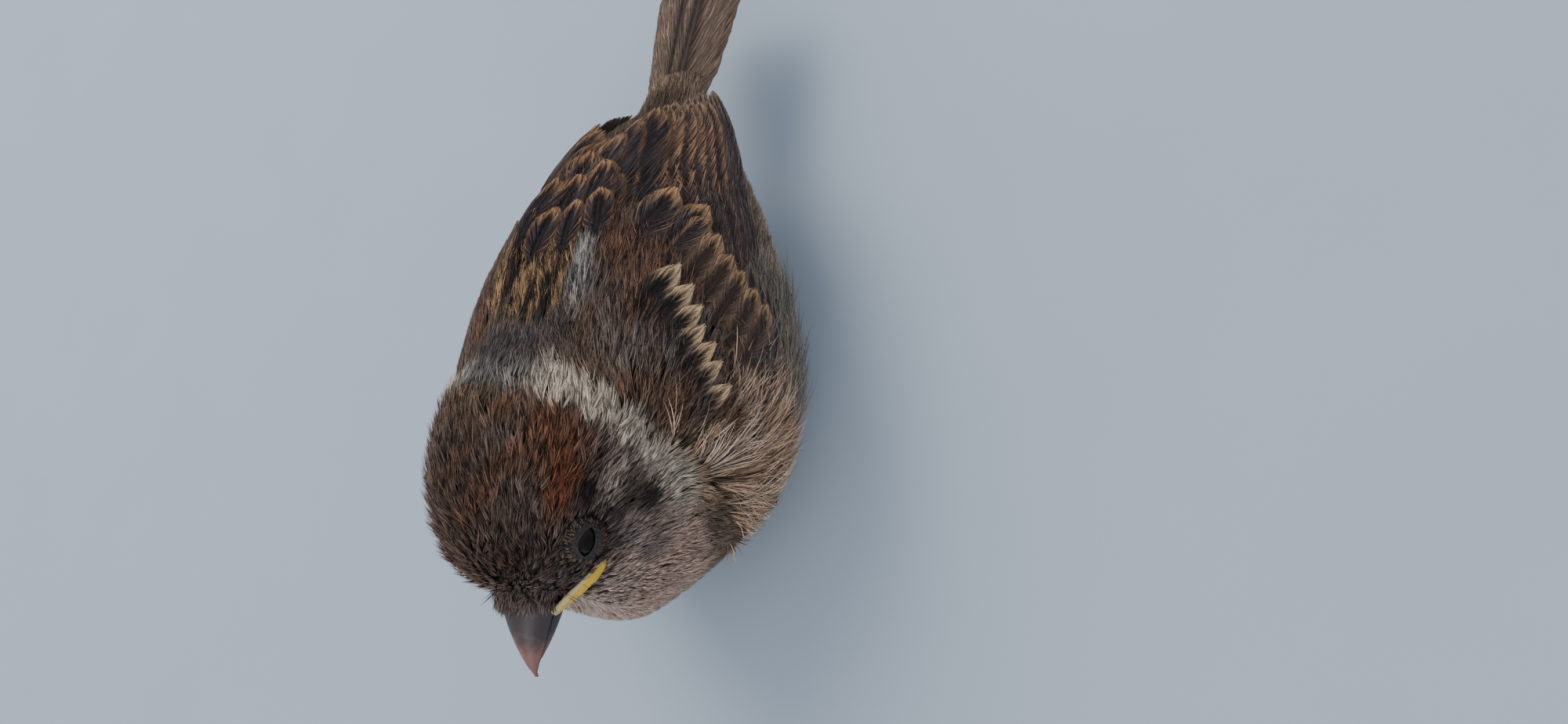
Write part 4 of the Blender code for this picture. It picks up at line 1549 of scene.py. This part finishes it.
@dataclass(frozen=True)
class FeatherRow:
    """A row of vaned feathers, from the innermost to the outermost, on one side of the bird.

    Roots and tips are pairs of the surface's two numbers, the second in degrees on the wing.
    """

    name: str
    count: int
    root_first: Pair
    root_last: Pair
    tip_first: Pair
    tip_last: Pair
    width_first: float
    width_last: float
    low: float  # height of the root over the outline
    high: float  # height of the tip
    finish: Vane
    slot: Slot = Slot.WING
    stack: float = -0.04  # each feather lies this much higher than the one before it
    blunt: float = 0.55  # share of the length where the vane starts to narrow
    sharp: float = 2.0  # above 2 for a square end, below for a pointed one
    barbs: int = 70  # along each web
    slant: float = 30.0  # degrees between barb and shaft
    fray: float = 0.5  # how far the loosest barbs reach past the rim
    loose: float = 1.0  # how far the barbs stand apart in height, and how much darker the painted-shadow barbs and lighter the others are
    thread: float = 0.13  # a bundle of real barbs, which are finer


@dataclass
class Feathers:
    """Builds rows of vaned feathers on a surface."""

    surface: Surface
    rows: int = 30  # points along a vane
    columns: int = 9  # and across it
    thickness: float = 0.09
    camber: float = 0.22
    gain: float = 2.3  # makes up for the shade that neighbouring barbs cast
    dark_share: float = 0.38  # share of barbs painted darker, as painted shadow

    def build(self, row: FeatherRow, side: Side, seed: int, drop: float) -> None:
        """Builds one row as a piece of vanes and a piece of barbs over them.

        Args:
            row: the row.
            side: the side that it lies on.
            seed: its random seed.
            drop: by how much the whole row lies lower.
        """
        rng = np.random.default_rng(SEED + seed)
        v, u = grid(np.linspace(0, 1, self.rows), np.linspace(0, 1, self.columns))
        flat = np.stack([u, v], 1)
        cells = math.ceil(math.sqrt(row.count))
        points, triangles, bake = [], [], []
        barbs = Barbs()
        for k in range(row.count):
            share = k / max(row.count - 1, 1)
            root, tip = (
                np.array(first) * (1 - share) + np.array(last) * share
                for first, last in ((row.root_first, row.root_last), (row.tip_first, row.tip_last))
            )
            tip = tip + rng.normal(size=2) * self.surface.stray
            width = (row.width_first * (1 - share) + row.width_last * share) * rng.uniform(0.95, 1.05)
            vane = self.vane(row, (root, tip), width / 2, row.stack * k - drop, side, rng)
            points += [vane[0], vane[0] - vane[1] * self.thickness * MM]
            triangles.append(slab(self.rows, self.columns, False, side.mirrored) + 2 * len(flat) * k)
            corner = np.array([k % cells, k // cells]) / cells
            bake += [corner + (0.04 + 0.92 * flat) / cells] * 2
            self.comb(barbs, row, vane, np.array([*corner, 1 / cells]), rng)
        tint, lines = (np.tile(x, (2 * row.count, 1)) for x in (row.finish.tint(v, abs(2 * u - 1)), flat))
        maps = {"vane": lines, "OFBake": np.concatenate(bake)}
        made = mesh_object(f"{row.name}_{side.word}", np.concatenate(points), np.concatenate(triangles), tint, maps)
        wear(made, row.finish, row.slot)
        wear(barbs.piece(f"{row.name}_barbs_{side.word}"), DOWNY, row.slot)

    def vane(self, row: FeatherRow, shaft: Two, half: float, lift: float, side: Side, rng: Random) -> Three:
        """Lays out the upper face of one vane.

        Args:
            row: its row.
            shaft: the two surface numbers of its root and those of its tip.
            half: its half width.
            lift: how much higher it lies than its row.
            side: the side that it lies on.
            rng: the random source.

        Returns:
            Points row by row, their normals, and the shaft's direction at each point.
        """
        t, v = np.linspace(0, 1, self.rows), np.linspace(-1, 1, self.columns)
        (root_a, root_b), (tip_a, tip_b) = shaft
        a = root_a + (tip_a - root_a) * t
        b = self.surface.second(root_b + (tip_b - root_b) * t, side)
        centre, slope_a, slope_b, normal = self.surface.frame(a, b)
        along = unit(np.gradient(centre, axis=0))
        across = unit(np.cross(along, normal)) * side.value
        narrow = np.clip((t - row.blunt) / (1 - row.blunt), 0, 1)
        width = np.minimum(1, 0.35 + 2.2 * t) * np.power(np.maximum(1 - narrow**row.sharp, 0), 1 / row.sharp)
        reach = v * (np.maximum(width, 0.04) * half)[:, None]
        reach[:, [0, -1]] *= 1 + 0.05 * rng.normal(size=(self.rows, 2))  # a ragged rim
        push = (reach[..., None] * across[:, None] * MM).reshape(-1, 3)
        a, b, slope_a, slope_b, along = (np.repeat(x, self.columns, axis=0) for x in (a, b, slope_a, slope_b, along))
        step_a, step_b = self.surface.step(slope_a, slope_b, push)
        place, _, _, up = self.surface.frame(a + step_a, b + step_b)
        arched = self.camber * (0.5 - v * v) * np.sin(np.pi * np.minimum(t + 0.15, 1))[:, None]
        height = (row.low + (row.high - row.low) * t + lift)[:, None] + arched
        return place + up * (height.reshape(-1, 1) * MM), up, along

    def comb(self, barbs: Barbs, row: FeatherRow, vane: Three, corner: Array, rng: Random) -> None:
        """Adds barbs that run from the shaft over both webs of one vane and fray past its rim.

        Args:
            barbs: where they are added.
            row: the feather's row.
            vane: its upper points, their normals and the shaft's direction at each.
            corner: the low corner of the feather's cell on the unwrap and the cell's width.
            rng: the random source.
        """
        top, normal, run = (part.reshape(self.rows, self.columns, 3) for part in vane)
        length = np.linalg.norm(np.diff(top[:, self.columns // 2], axis=0), axis=1).sum()
        breadth = np.linalg.norm(top[:, -1] - top[:, 0], axis=1) / 2
        number = 2 * row.barbs
        web = np.where(np.arange(number) % 2, 1.0, -1.0)
        start = np.clip(np.linspace(0.04, 0.97, number) + rng.normal(size=number) * 0.006, 0.02, 0.975)
        half = np.interp(start, np.linspace(0, 1, self.rows), breadth)
        wander = 3 * ripple(start[:, None] * [[9.0, 0, 0]], 1.0, 7)
        slant = np.tan(np.radians(row.slant * rng.uniform(0.8, 1.2, number) + wander))
        past = row.fray * rng.uniform(0.1, 1.0, number) ** 1.5 * MM / np.maximum(half, 0.6 * MM)
        steps = np.array([0.0, 0.35, 0.72, 1.0])
        away = 0.04 + (0.96 + past)[:, None] * steps
        along = start[:, None] + away * (half / length / slant)[:, None] * (0.8 + 0.35 * steps)
        inner_t, inner_v = np.minimum(along, 0.995), np.minimum(away, 0.99)
        row_at, column_at = inner_t * (self.rows - 1), (inner_v * web[:, None] + 1) / 2 * (self.columns - 1)
        i, j = row_at.astype(int), column_at.astype(int)
        f, g = (row_at - i)[..., None], (column_at - j)[..., None]
        near, far = (top[i, k] * (1 - f) + top[i + 1, k] * f for k in (j, j + 1))
        up, ahead = normal[i, j], run[i, j]
        out = np.cross(ahead, up)
        out *= np.sign((out * (top[:, -1] - top[:, 0]).mean(0)).sum(-1, keepdims=True)) * web[:, None, None]
        spot = near * (1 - g) + far * g + out * ((away - inner_v) * half[:, None])[..., None] * 0.6
        beyond = np.minimum((along - inner_t) * length * 0.6, (0.15 + row.fray) * MM * rng.uniform(0.3, 1, (number, 1)))
        height = 0.03 + 0.05 * rng.uniform(size=(number, 1))
        height = height + 0.14 * row.loose * rng.uniform(size=(number, 1)) * steps**2
        centres = spot + ahead * beyond[..., None] + up * (height * MM)[..., None]
        # painted shadow: a share of the barbs is darker, as if shaded by their neighbours, and each darkens toward its
        # root
        dark = rng.uniform(size=number) < self.dark_share
        bright = self.gain * (1 - row.loose * np.where(dark, 0.5, -0.3)) * np.exp(0.12 * rng.normal(size=number))
        shade = (bright[:, None] * np.array([0.7, 0.95, 1.05, 1.1]))[..., None]
        tints = row.finish.tint(along, away + 0.08 * rng.normal(size=(number, 1))) * shade
        root = corner[:2] + (0.04 + 0.92 * np.stack([0.5 + 0.4 * web * away[:, 1], start], 1)) * corner[2]
        places = np.stack([root + TUFT * (s - 0.5) for s in steps], 1)
        widths = row.thread * MM * rng.uniform(0.7, 1.25, (number, 1)) * np.array([[1.0, 0.9]])
        heading = unit(centres[:, 2] - centres[:, 0])
        barbs.add(centres, unit(np.cross(up[:, 1], heading)), up[:, 1], widths, tints, places)


# roughness, IOR, colours of centre, edge and tip, the shares that edge and tip take, and the length
PRIMARY = Vane("flight_feather_primary", 0.6, 1.55, "3d3330", "746052", "5c4c40", 0.22, 0.06, 32)
SECONDARY = Vane("flight_feather_secondary", 0.65, 1.55, "332825", "7d5b44", "66503d", 0.42, 0.05, 25)
TERTIAL = Vane("flight_feather_tertial", 0.7, 1.55, "2a2322", "705138", "6a4f3a", 0.15, 0.06, 19)
GREATER = Vane("wing_covert_greater", 0.7, 1.55, "40322a", "674d39", "80644a", 0.4, 0.12, 9)
INNER_GREATER = Vane("wing_covert_inner", 0.7, 1.55, "2c2424", "66503f", "8a6a4c", 0.24, 0.1, 9)
MEDIAN = Vane("wing_covert_median", 0.75, 1.55, "1d1717", "33291f", "9a8265", 0.25, 0.26, 7)
SCAPULAR = Vane("scapular_rounded", 0.75, 1.55, "241c1c", "6d4f3b", "77593f", 0.15, 0.1, 8)
RECTRIX = Vane("tail_feather", 0.65, 1.55, "463a32", "7d6756", "655447", 0.3, 0.04, 26)
BASE_SKIN = Skin("wing_skin_downy", 0.8, 1.4, painted=True, scatter=0.0)

WING_ROWS = (
    FeatherRow(
        "primaries", 8, (-4, 22), (-13, -5), (23, 46), (26.4, 20), 4.4, 3.4, -0.75, -0.35, PRIMARY,
        blunt=0.5, sharp=1.6, barbs=120, slant=18, fray=0.1, thread=0.1, loose=0.35,
    ),
    FeatherRow(
        "secondaries", 6, (-1, 50), (-8, 14), (20.5, 58), (22, 34), 5.0, 4.2, -0.7, -0.15, SECONDARY,
        blunt=0.7, barbs=110, slant=22, fray=0.4, loose=0.7,
    ),
    FeatherRow(
        "primary_coverts", 5, (-15, 14), (-20, 1), (-2, 13), (-7, -2), 3.2, 2.6, -0.6, 0.0, PRIMARY,
        blunt=0.5, barbs=60, slant=20, fray=0.2, thread=0.1, loose=0.5,
    ),
    FeatherRow(
        "tertials", 4, (-3, 84), (-1, 57), (13, 96), (19.5, 64), 7.6, 7.0, -0.55, 0.2, TERTIAL,
        blunt=0.6, sharp=2.2, barbs=140, slant=26, fray=0.7, loose=0.5,
    ),
    FeatherRow(
        "greater_coverts", 6, (-6, 46), (-15, 18), (1.2, 32), (-7.5, 8), 5.0, 4.0, -0.5, 0.15, GREATER,
        sharp=2.2, barbs=90, slant=22, fray=0.35, loose=0.6,
    ),
    FeatherRow(
        "greater_inner", 2, (-4, 60), (-5, 50), (5.4, 44), (3.2, 32), 5.2, 5.0, -0.4, 0.35, INNER_GREATER,
        blunt=0.5, barbs=90, slant=28, fray=0.3, loose=0.5,
    ),
    FeatherRow(
        "median_coverts", 7, (-11.5, 54), (-23, 37), (-5.8, 41), (-18.4, 24), 4.2, 3.4, -0.3, 0.3, MEDIAN,
        blunt=0.35, sharp=1.8, barbs=60, slant=22, fray=0.35, loose=0.8,
    ),
    FeatherRow(
        "scapulars_rear", 3, (-1, 106), (0, 76), (8.2, 106), (9.6, 80), 7.6, 7.2, -0.1, 0.3, SCAPULAR,
        blunt=0.5, sharp=2.2, barbs=110, fray=0.3, loose=0.4,
    ),
    FeatherRow(
        "scapulars_small", 3, (-4, 96), (-2, 69), (3.0, 96), (4.4, 72), 4.6, 3.8, 0.0, 0.4, SCAPULAR,
        sharp=2.6, barbs=80, fray=0.3, loose=0.4,
    ),
)
RECTRICES = FeatherRow(
    "rectrices", 6, (22.5, 0.6), (23.5, 3.2), (50.0, 1.6), (48.6, 6.4), 4.6, 4.2, -0.2, -0.1, RECTRIX,
    slot=Slot.TAIL, stack=-0.13, blunt=0.82, sharp=2.4, barbs=120, slant=18, fray=0.12, thread=0.09, loose=0.3,
)


@dataclass(frozen=True)
class Base:
    """A thin dark body under vaned feathers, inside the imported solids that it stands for."""

    name: str
    slot: Slot
    nodes: tuple[str, ...]
    colour: str
    flip: bool  # turns the faces over
    depth: float = 1.1  # under the outline

    def lay(self, surface: Surface, a: Array, b: Array, thick: Array) -> None:
        """Builds it.

        Args:
            surface: what it lies under.
            a: first surface number of each row.
            b: second surface number of each point, one row to a row.
            thick: thickness of each row.
        """
        rows, columns = b.shape
        a, b, thick = np.repeat(a, columns), b.ravel(), np.repeat(thick, columns)[:, None]
        point, _, _, normal = surface.frame(a, b)
        outer = point - normal * self.depth * MM
        points = np.concatenate([outer, outer - normal * thick * MM])
        tint = np.tile(linear(self.colour), (len(points), 1))
        maps = {"OFBake": np.tile(surface.unwrap(a, b), (2, 1))}
        made = mesh_object(self.name, points, slab(rows, columns, False, self.flip), tint, maps)
        wear(made, BASE_SKIN, self.slot, self.nodes)


@dataclass
class Wings:
    """Both folded wings: a base that stands for each packed wing, its small coverts and its vaned feathers."""

    envelope: Envelope
    markings: Markings
    base_thickness: float = 0.3
    settled: float = 0.25  # by how much the right wing's rows lie lower

    def make(self) -> None:
        """Builds both wings."""
        feathers = Feathers(self.envelope)
        for side in Side:
            self.make_base(side)
            coverts = ShoulderCoverts(markings=self.markings, side=side)
            coverts.grow(self.envelope, SHOULDERS.on(side), 50 + side.mirrored)
            for number, row in enumerate(WING_ROWS):
                feathers.build(row, side, 100 + 2 * number + side.mirrored, self.settled * side.mirrored)

    def make_base(self, side: Side) -> None:
        """The base of one wing, tapered to both ends within the border of the feathers.

        Args:
            side: the wing's side.
        """
        arm, quills = nodes = (f"wing_{side.word}_arm", f"wing_{side.word}_quills")
        share = np.linspace(0, 1, 60)
        y = np.linspace(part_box(arm)[0].y / MM + 1.0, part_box(quills)[1].y / MM - 5.0, len(share))
        top = np.interp(share, [0, 0.12, 0.3, 0.48, 0.66, 0.8, 0.92, 1], [38, 55, 70, 76, 78, 72, 56, 40])
        bottom = np.interp(share, [0, 0.12, 0.5, 0.8, 1], [6, 4, 5, 6, 20])
        turn = self.envelope.second(bottom[:, None] + (top - bottom)[:, None] * np.linspace(0, 1, 40), side)
        base = Base(f"wing_base_{side.word}", Slot.WING, nodes, "2c2320", not side.mirrored)
        base.lay(self.envelope, y, turn, np.full(len(share), self.base_thickness))


@dataclass
class Tail:
    """The closed tail: twelve feathers stacked outward from the middle pair, on a base that stands for it."""

    settled: float = 0.06  # by how much the right half lies lower

    def make(self) -> None:
        """Builds the feathers and the base under them."""
        plane = TailPlane()
        feathers = Feathers(plane)
        for side in Side:
            feathers.build(RECTRICES, side, 200 + side.mirrored, self.settled * side.mirrored)
        share = np.linspace(0, 1, 40)
        y = np.linspace(plane.low[1] - 1.0, plane.high[1] - 4.0, len(share))
        across = (3.4 + 2.6 * share)[:, None] * np.linspace(-1, 1, 24)
        Base("tail_base", Slot.TAIL, ("tail",), "5a4a40", True).lay(plane, y, across, 1.0 - 0.75 * share)


# ---- bill, mouth, eyes and feet


@dataclass(frozen=True)
class Lip:
    """One lip of the gape flange: a tube along the corner of the mouth."""

    name: str
    tall: float  # half its height
    wide: float  # half its width
    offset: float  # above the corner's line
    proud: float  # outward from it
    colour: str
    second: str


LOWER_LIP = Lip("gape_lower", 0.82, 0.52, -0.30, 0.04, "e0ba3c", "c69824")
UPPER_LIP = Lip("gape_upper", 0.46, 0.40, 0.50, -0.06, "dcc48e", "bd9f66")


@dataclass
class Face:
    """Bill, gape and eyes: hard and bare parts of the head."""

    frame: dict
    body: BodySurface
    gape: tuple[Triple, ...] = (  # the corner of the mouth, ahead, out and above in the head's own frame
        (12.9, 3.8, -0.2), (11.2, 5.4, -0.4), (9.6, 6.95, -0.75), (8.1, 8.25, -1.15), (6.9, 9.1, -1.6),
    )
    fringe: int = 1100  # feather tips round each eye

    def __post_init__(self) -> None:
        """Takes the head's place and directions from the body's shape."""
        self.centre, self.axes = self.body.head_frame()

    def make(self) -> None:
        """Builds all of it."""
        self.dress_bill()
        self.make_lining()
        for side in Side:
            self.make_gape(side)
            centre, axis, _, _ = self.find_eye(side)
            look = {"centre": tuple(centre), "outward": tuple(axis), "radius": EYE_RADIUS * MM}
            dress(self.frame, f"eye_{side.word}", EyeGlass(f"eye_{side.word}_wet", 0.08, 1.38, **look))
            self.make_lid(side)
            self.make_fringe(side)

    def dress_bill(self) -> None:
        """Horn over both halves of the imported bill."""
        ends = {"base": tuple(self.body.head_point(11.8, 0, -0.4)), "tip": tuple(self.body.head_point(20.0, 0, -1.2))}
        dress(self.frame, "bill_upper", Horn("bill_horn_upper", 0.48, **ends))
        dress(self.frame, "bill_lower", Horn("bill_horn_lower", 0.5, dark="33251f", light="6b463d", **ends))

    def make_lining(self) -> None:
        """The dark lining of the mouth, which shows as the line between both halves of the bill."""
        share, turn = np.linspace(0, 1, 24)[:, None], np.linspace(0, FULL_TURN, 16, endpoint=False)
        ahead = 11.2 + 7.2 * share + 0 * turn
        out = (3.25 - 2.6 * share) * np.cos(turn)
        above = 0.3 * np.sin(turn) - 0.37 - 0.76 * share
        rings = self.centre + np.stack([ahead, out, above], 2) @ self.axes * MM
        made = mesh_object("mouth_lining", *loft(rings, True))
        finish = Skin("mouth_lining_flesh", 0.5, 1.4, colour="2c1714", second="3d211c", blotch=1.0 * MM, scatter=0.05)
        wear(made, finish, Slot.BILL)

    def find_eye(self, side: Side) -> Four:
        """Finds where one eye is and how it lies.

        Args:
            side: the eye's side.

        Returns:
            Its centre in metres, the way it looks, and the directions to the bill and up along the face.
        """
        axis = unit(self.axes[1] * side.value * 0.92 + self.axes[0] * 0.3 + self.axes[2] * 0.2)
        ahead = unit(self.axes[0] - axis * (self.axes[0] @ axis))
        return self.body.eye(side), axis, ahead, unit(np.cross(axis, ahead) * side.value)

    def make_lid(self, side: Side) -> None:
        """The scaly lids: a ring over the eyeball with an almond opening, pointed to the bill.

        Args:
            side: the eye's side.
        """
        centre, axis, ahead, above = self.find_eye(side)
        rows, columns = 26, 120
        beta = np.linspace(0, FULL_TURN, columns, endpoint=False)
        wide, tall = 38, np.where(np.sin(beta) > 0, 11, 33)  # half the opening in degrees, less above than below
        power = 1.6  # 2 is an ellipse, and less draws out its ends
        opening = 1 / ((abs(np.cos(beta)) / wide) ** power + (abs(np.sin(beta)) / tall) ** power) ** (1 / power)
        opening = np.radians(opening)
        t = np.linspace(0, 1, rows)[:, None]
        rim = np.radians(58 - 10 * np.maximum(np.sin(beta), 0) + 4 * np.minimum(np.sin(beta), 0))
        polar = opening + (rim - opening) * t
        swell = 0.12 + 0.10 * np.sin(np.pi * np.clip(t * 1.05, 0, 1)) ** 0.8 + 0.08 * np.exp(-((t / 0.08) ** 2))
        round_rim = ahead * np.cos(beta)[:, None] + above * np.sin(beta)[:, None]
        direction = axis * np.cos(polar)[..., None] + round_rim * np.sin(polar)[..., None]
        flat = direction.reshape(-1, 3) * EYE_RADIUS
        crease = 0.05 * np.sin(polar * 42 + 1.3 * np.sin(beta * 5)) * np.sin(np.pi * t) ** 0.5
        rough = (0.06 * ripple(flat, 0.5, 31) + 0.05 * ripple(flat, 0.28, 32)).reshape(rows, columns)
        radius = EYE_RADIUS + swell + (crease + rough) * np.minimum(1, 6 * t)
        outer = centre + direction * radius[..., None] * MM
        inner = centre + direction * (EYE_RADIUS + 0.03) * MM
        points = np.concatenate([outer.reshape(-1, 3), inner.reshape(-1, 3)])
        made = mesh_object(f"eyelids_{side.word}", points, slab(rows, columns, True, side.mirrored))
        finish = Skin(
            "eyelid_bare_scaly", 0.7, 1.40, colour="4c4440", second="0e0b0a", blotch=0.26 * MM, crease=0.2 * MM,
            depth=0.12 * MM, scatter=0.02,
        )
        wear(made, finish, Slot.CROWN)

    def make_fringe(self, side: Side) -> None:
        """Tiny feather tips, some pale, that ring the lids and grow away from them.

        Args:
            side: the eye's side.
        """
        rng = np.random.default_rng(SEED + 60 + side.value)
        centre, axis, ahead, above = self.find_eye(side)
        shape = (self.fringe, 1)
        beta = rng.uniform(0, FULL_TURN, shape)
        covered = np.maximum(np.sin(beta), 0)  # more of the upper lid is overgrown
        polar = np.radians(43 - 7 * covered + rng.uniform(0, 1, shape) * (28 - 5 * covered))
        outward = ahead * np.cos(beta) + above * np.sin(beta)
        up = axis * np.cos(polar) + outward * np.sin(polar)
        away = outward * np.cos(polar) - axis * np.sin(polar)
        root = centre + up * (EYE_RADIUS + 0.12) * MM
        heading = unit(away + up * 0.35 - self.axes[0] * 0.4 + 0.25 * rng.normal(size=(self.fringe, 3)))
        length = rng.uniform(0.4, 0.8, shape) * (1 + 0.5 * covered) * MM
        steps = (0.0, 0.3, 0.65, 1.0)
        centres = np.stack([root + length * (heading * s + up * 0.15 * s * (1 - s)) for s in steps], 1)
        pale = rng.uniform(size=shape) < 0.2 + 0.25 * (np.sin(beta) < 0)
        dull = mix(linear("332825"), linear("5a4032"), covered[:, 0])  # near black below, brown above
        colour = np.where(pale, linear("86715f"), dull)
        # painted shade: each tip darkens toward its root
        tints = colour[:, None] * np.array([0.6, 0.9, 1.1, 1.3])[:, None]
        places = np.stack([np.concatenate([beta / 7 + 0.05, polar * 0 + 0.5 + TUFT * s], 1) for s in steps], 1)
        widths = np.tile(np.array([0.12, 0.1]) * MM, shape)
        barbs = Barbs()
        barbs.add(centres, unit(np.cross(up, heading)), up, widths, tints, places)
        wear(barbs.piece(f"coat_eyelid_{side.word}"), DOWNY, Slot.CROWN)

    def make_gape(self, side: Side) -> None:
        """The swollen yellow corner of the mouth: a fat lower lip, a thin paler upper lip and the slit between.

        Args:
            side: the side of the mouth.
        """
        path = np.array([self.body.head_point(ahead, side.value * out, above) for ahead, out, above in self.gape])
        t, knots = np.linspace(0, 1, 40), np.linspace(0, 1, len(path))
        line = np.stack([np.interp(t, knots, axis) for axis in path.T], 1)
        for _ in range(6):  # rounds the corners off the path
            line[1:-1] = (line[:-2] + 2 * line[1:-1] + line[2:]) / 4
        along = unit(np.gradient(line, axis=0))
        out = unit(np.cross(along, self.axes[2]) * side.value)
        above = np.cross(out, along) * side.value
        cap = np.sqrt(np.maximum(1 - (np.maximum(t - 0.86, 0) / 0.145) ** 2, 0.0))  # rounds the rear end
        swollen = 0.12 + 0.88 * np.sin(np.pi * (0.03 + 0.9 * t**1.35)) ** 0.9
        angle = np.linspace(0, FULL_TURN, 20, endpoint=False)
        for lip, fat, nodes in ((LOWER_LIP, swollen, (f"gape_{side.word}",)), (UPPER_LIP, 0.95 - 0.45 * t, ())):
            fat = (fat * cap)[:, None]
            wave = fat * (1 + 0.05 * np.sin(t * 23 + 2 * lip.offset)[:, None])
            ring = out[:, None] * (np.cos(angle) * lip.wide * wave)[..., None]
            ring = ring + above[:, None] * (np.sin(angle) * lip.tall * wave)[..., None]
            centre = line + above * (lip.offset * fat * MM) + out * lip.proud * MM
            made = mesh_object(f"{lip.name}_{side.word}", *loft(centre[:, None] + ring * MM, side.mirrored))
            finish = Skin(
                f"{lip.name}_flange_swollen", 0.5, 1.42, colour=lip.colour, second=lip.second, blotch=0.9 * MM,
                crease=0.3 * MM, depth=0.03 * MM, scatter=0.1,
            )
            wear(made, finish, Slot.GAPE, nodes)


@dataclass(frozen=True)
class Feet:
    """Scaled skin on the legs and horn on the claws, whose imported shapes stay."""

    frame: dict
    leg: Skin = Skin(
        "foot_scutes_skin", 0.5, 1.45, colour="b08676", second="8b6558", blotch=1.5 * MM, crease=0.55 * MM,
        depth=0.12 * MM, scatter=0.15,
    )
    claw: Horn = Horn("claw_horn", 0.35, dark="4a3a34", light="7d665a", clouds=1.0 * MM)

    def make(self) -> None:
        """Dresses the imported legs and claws."""
        for kind, finish in (("leg_", self.leg), ("claw_", self.claw)):
            for name in self.frame["nodes"]:
                if name.startswith(kind):
                    dress(self.frame, name, finish)


# ---- studio


@dataclass(frozen=True)
class Studio:
    """Pale floor, soft light and the camera: above the bird's left shoulder, near, turned on its side."""

    lights: tuple[tuple[str, Triple, float, float, Triple], ...] = (  # name, place, size, watts and colour of each
        ("overhead_light", (-0.35, 0.45, 0.8), 0.6, 5.0, (1.0, 0.985, 0.96)),
        ("front_light", (0.1, -0.9, 0.45), 0.5, 2.5, (0.93, 0.96, 1.0)),
    )
    sky: tuple[float, ...] = (0.80, 0.88, 1.0, 1.0)
    sky_strength: float = 0.8
    floor_half: float = 1.5  # in metres
    target: Triple = (23.5, -14.43, 22.21)
    azimuth: float = 62.51  # degrees, as the two below
    elevation: float = 54.25
    roll: float = -63.83
    distance: float = 127.76
    lens: float = 25.99
    sensor: float = 36.0

    def make(self) -> None:
        """Builds all of it."""
        self.make_floor()
        self.make_lights()
        self.make_camera()

    def make_lights(self) -> None:
        """Square soft lights that face the bird, and an even sky around."""
        for name, place, size, power, colour in self.lights:
            data = bpy.data.lights.new(name, "AREA")
            data.energy, data.size, data.color = power, size, colour
            light = bpy.data.objects.new(name, data)
            light.location = place
            light.rotation_euler = (-Vector(place)).to_track_quat("-Z", "Y").to_euler()
            bpy.context.scene.collection.objects.link(light)
        world = bpy.data.worlds.new("even_sky")
        world.use_nodes = True
        background = world.node_tree.nodes["Background"].inputs
        background["Color"].default_value, background["Strength"].default_value = self.sky, self.sky_strength
        bpy.context.scene.world = world

    def make_floor(self) -> None:
        """A flat floor at the height that the bird rests on."""
        h = self.floor_half
        points = np.array([(-h, -h, 0), (h, -h, 0), (h, h, 0), (-h, h, 0)])
        floor = mesh_object("studio_floor", points, np.array([(0, 1, 2), (0, 2, 3)]))
        floor.data.materials.append(StudioFloor("painted_board", 0.9, 1.5).material())

    def make_camera(self) -> None:
        """Aims the camera at its target from its azimuth and elevation, and rolls it."""
        azimuth, elevation, roll = (math.radians(x) for x in (self.azimuth, self.elevation, self.roll))
        level = Vector((math.sin(azimuth), -math.cos(azimuth), 0)) * math.cos(elevation)
        back = level + Vector((0, 0, math.sin(elevation)))
        place = (Vector(self.target) + back * self.distance) * MM
        data = bpy.data.cameras.new("camera")
        data.lens, data.sensor_width = self.lens, self.sensor
        data.clip_start, data.clip_end = 0.005, 20.0
        camera = bpy.data.objects.new("camera", data)
        turn = back.to_track_quat("Z", "Y").to_matrix() @ Matrix.Rotation(roll, 3, "Z")
        camera.matrix_world = Matrix.Translation(place) @ turn.to_4x4()
        bpy.context.scene.collection.objects.link(camera)
        bpy.context.scene.camera = camera


def main() -> None:
    """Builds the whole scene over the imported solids."""
    logging.basicConfig(level=logging.INFO, format="%(message)s")
    for old in list(bpy.data.objects):
        bpy.data.objects.remove(old)
    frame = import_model()
    body, envelope = BodySurface(), Envelope(frame["nodes"])
    markings = Markings(body)
    Plumage(body, envelope, markings).make()
    Wings(envelope, markings).make()
    Tail().make()
    Face(frame, body).make()
    Feet(frame).make()
    Studio().make()


if __name__ == "__main__":
    main()
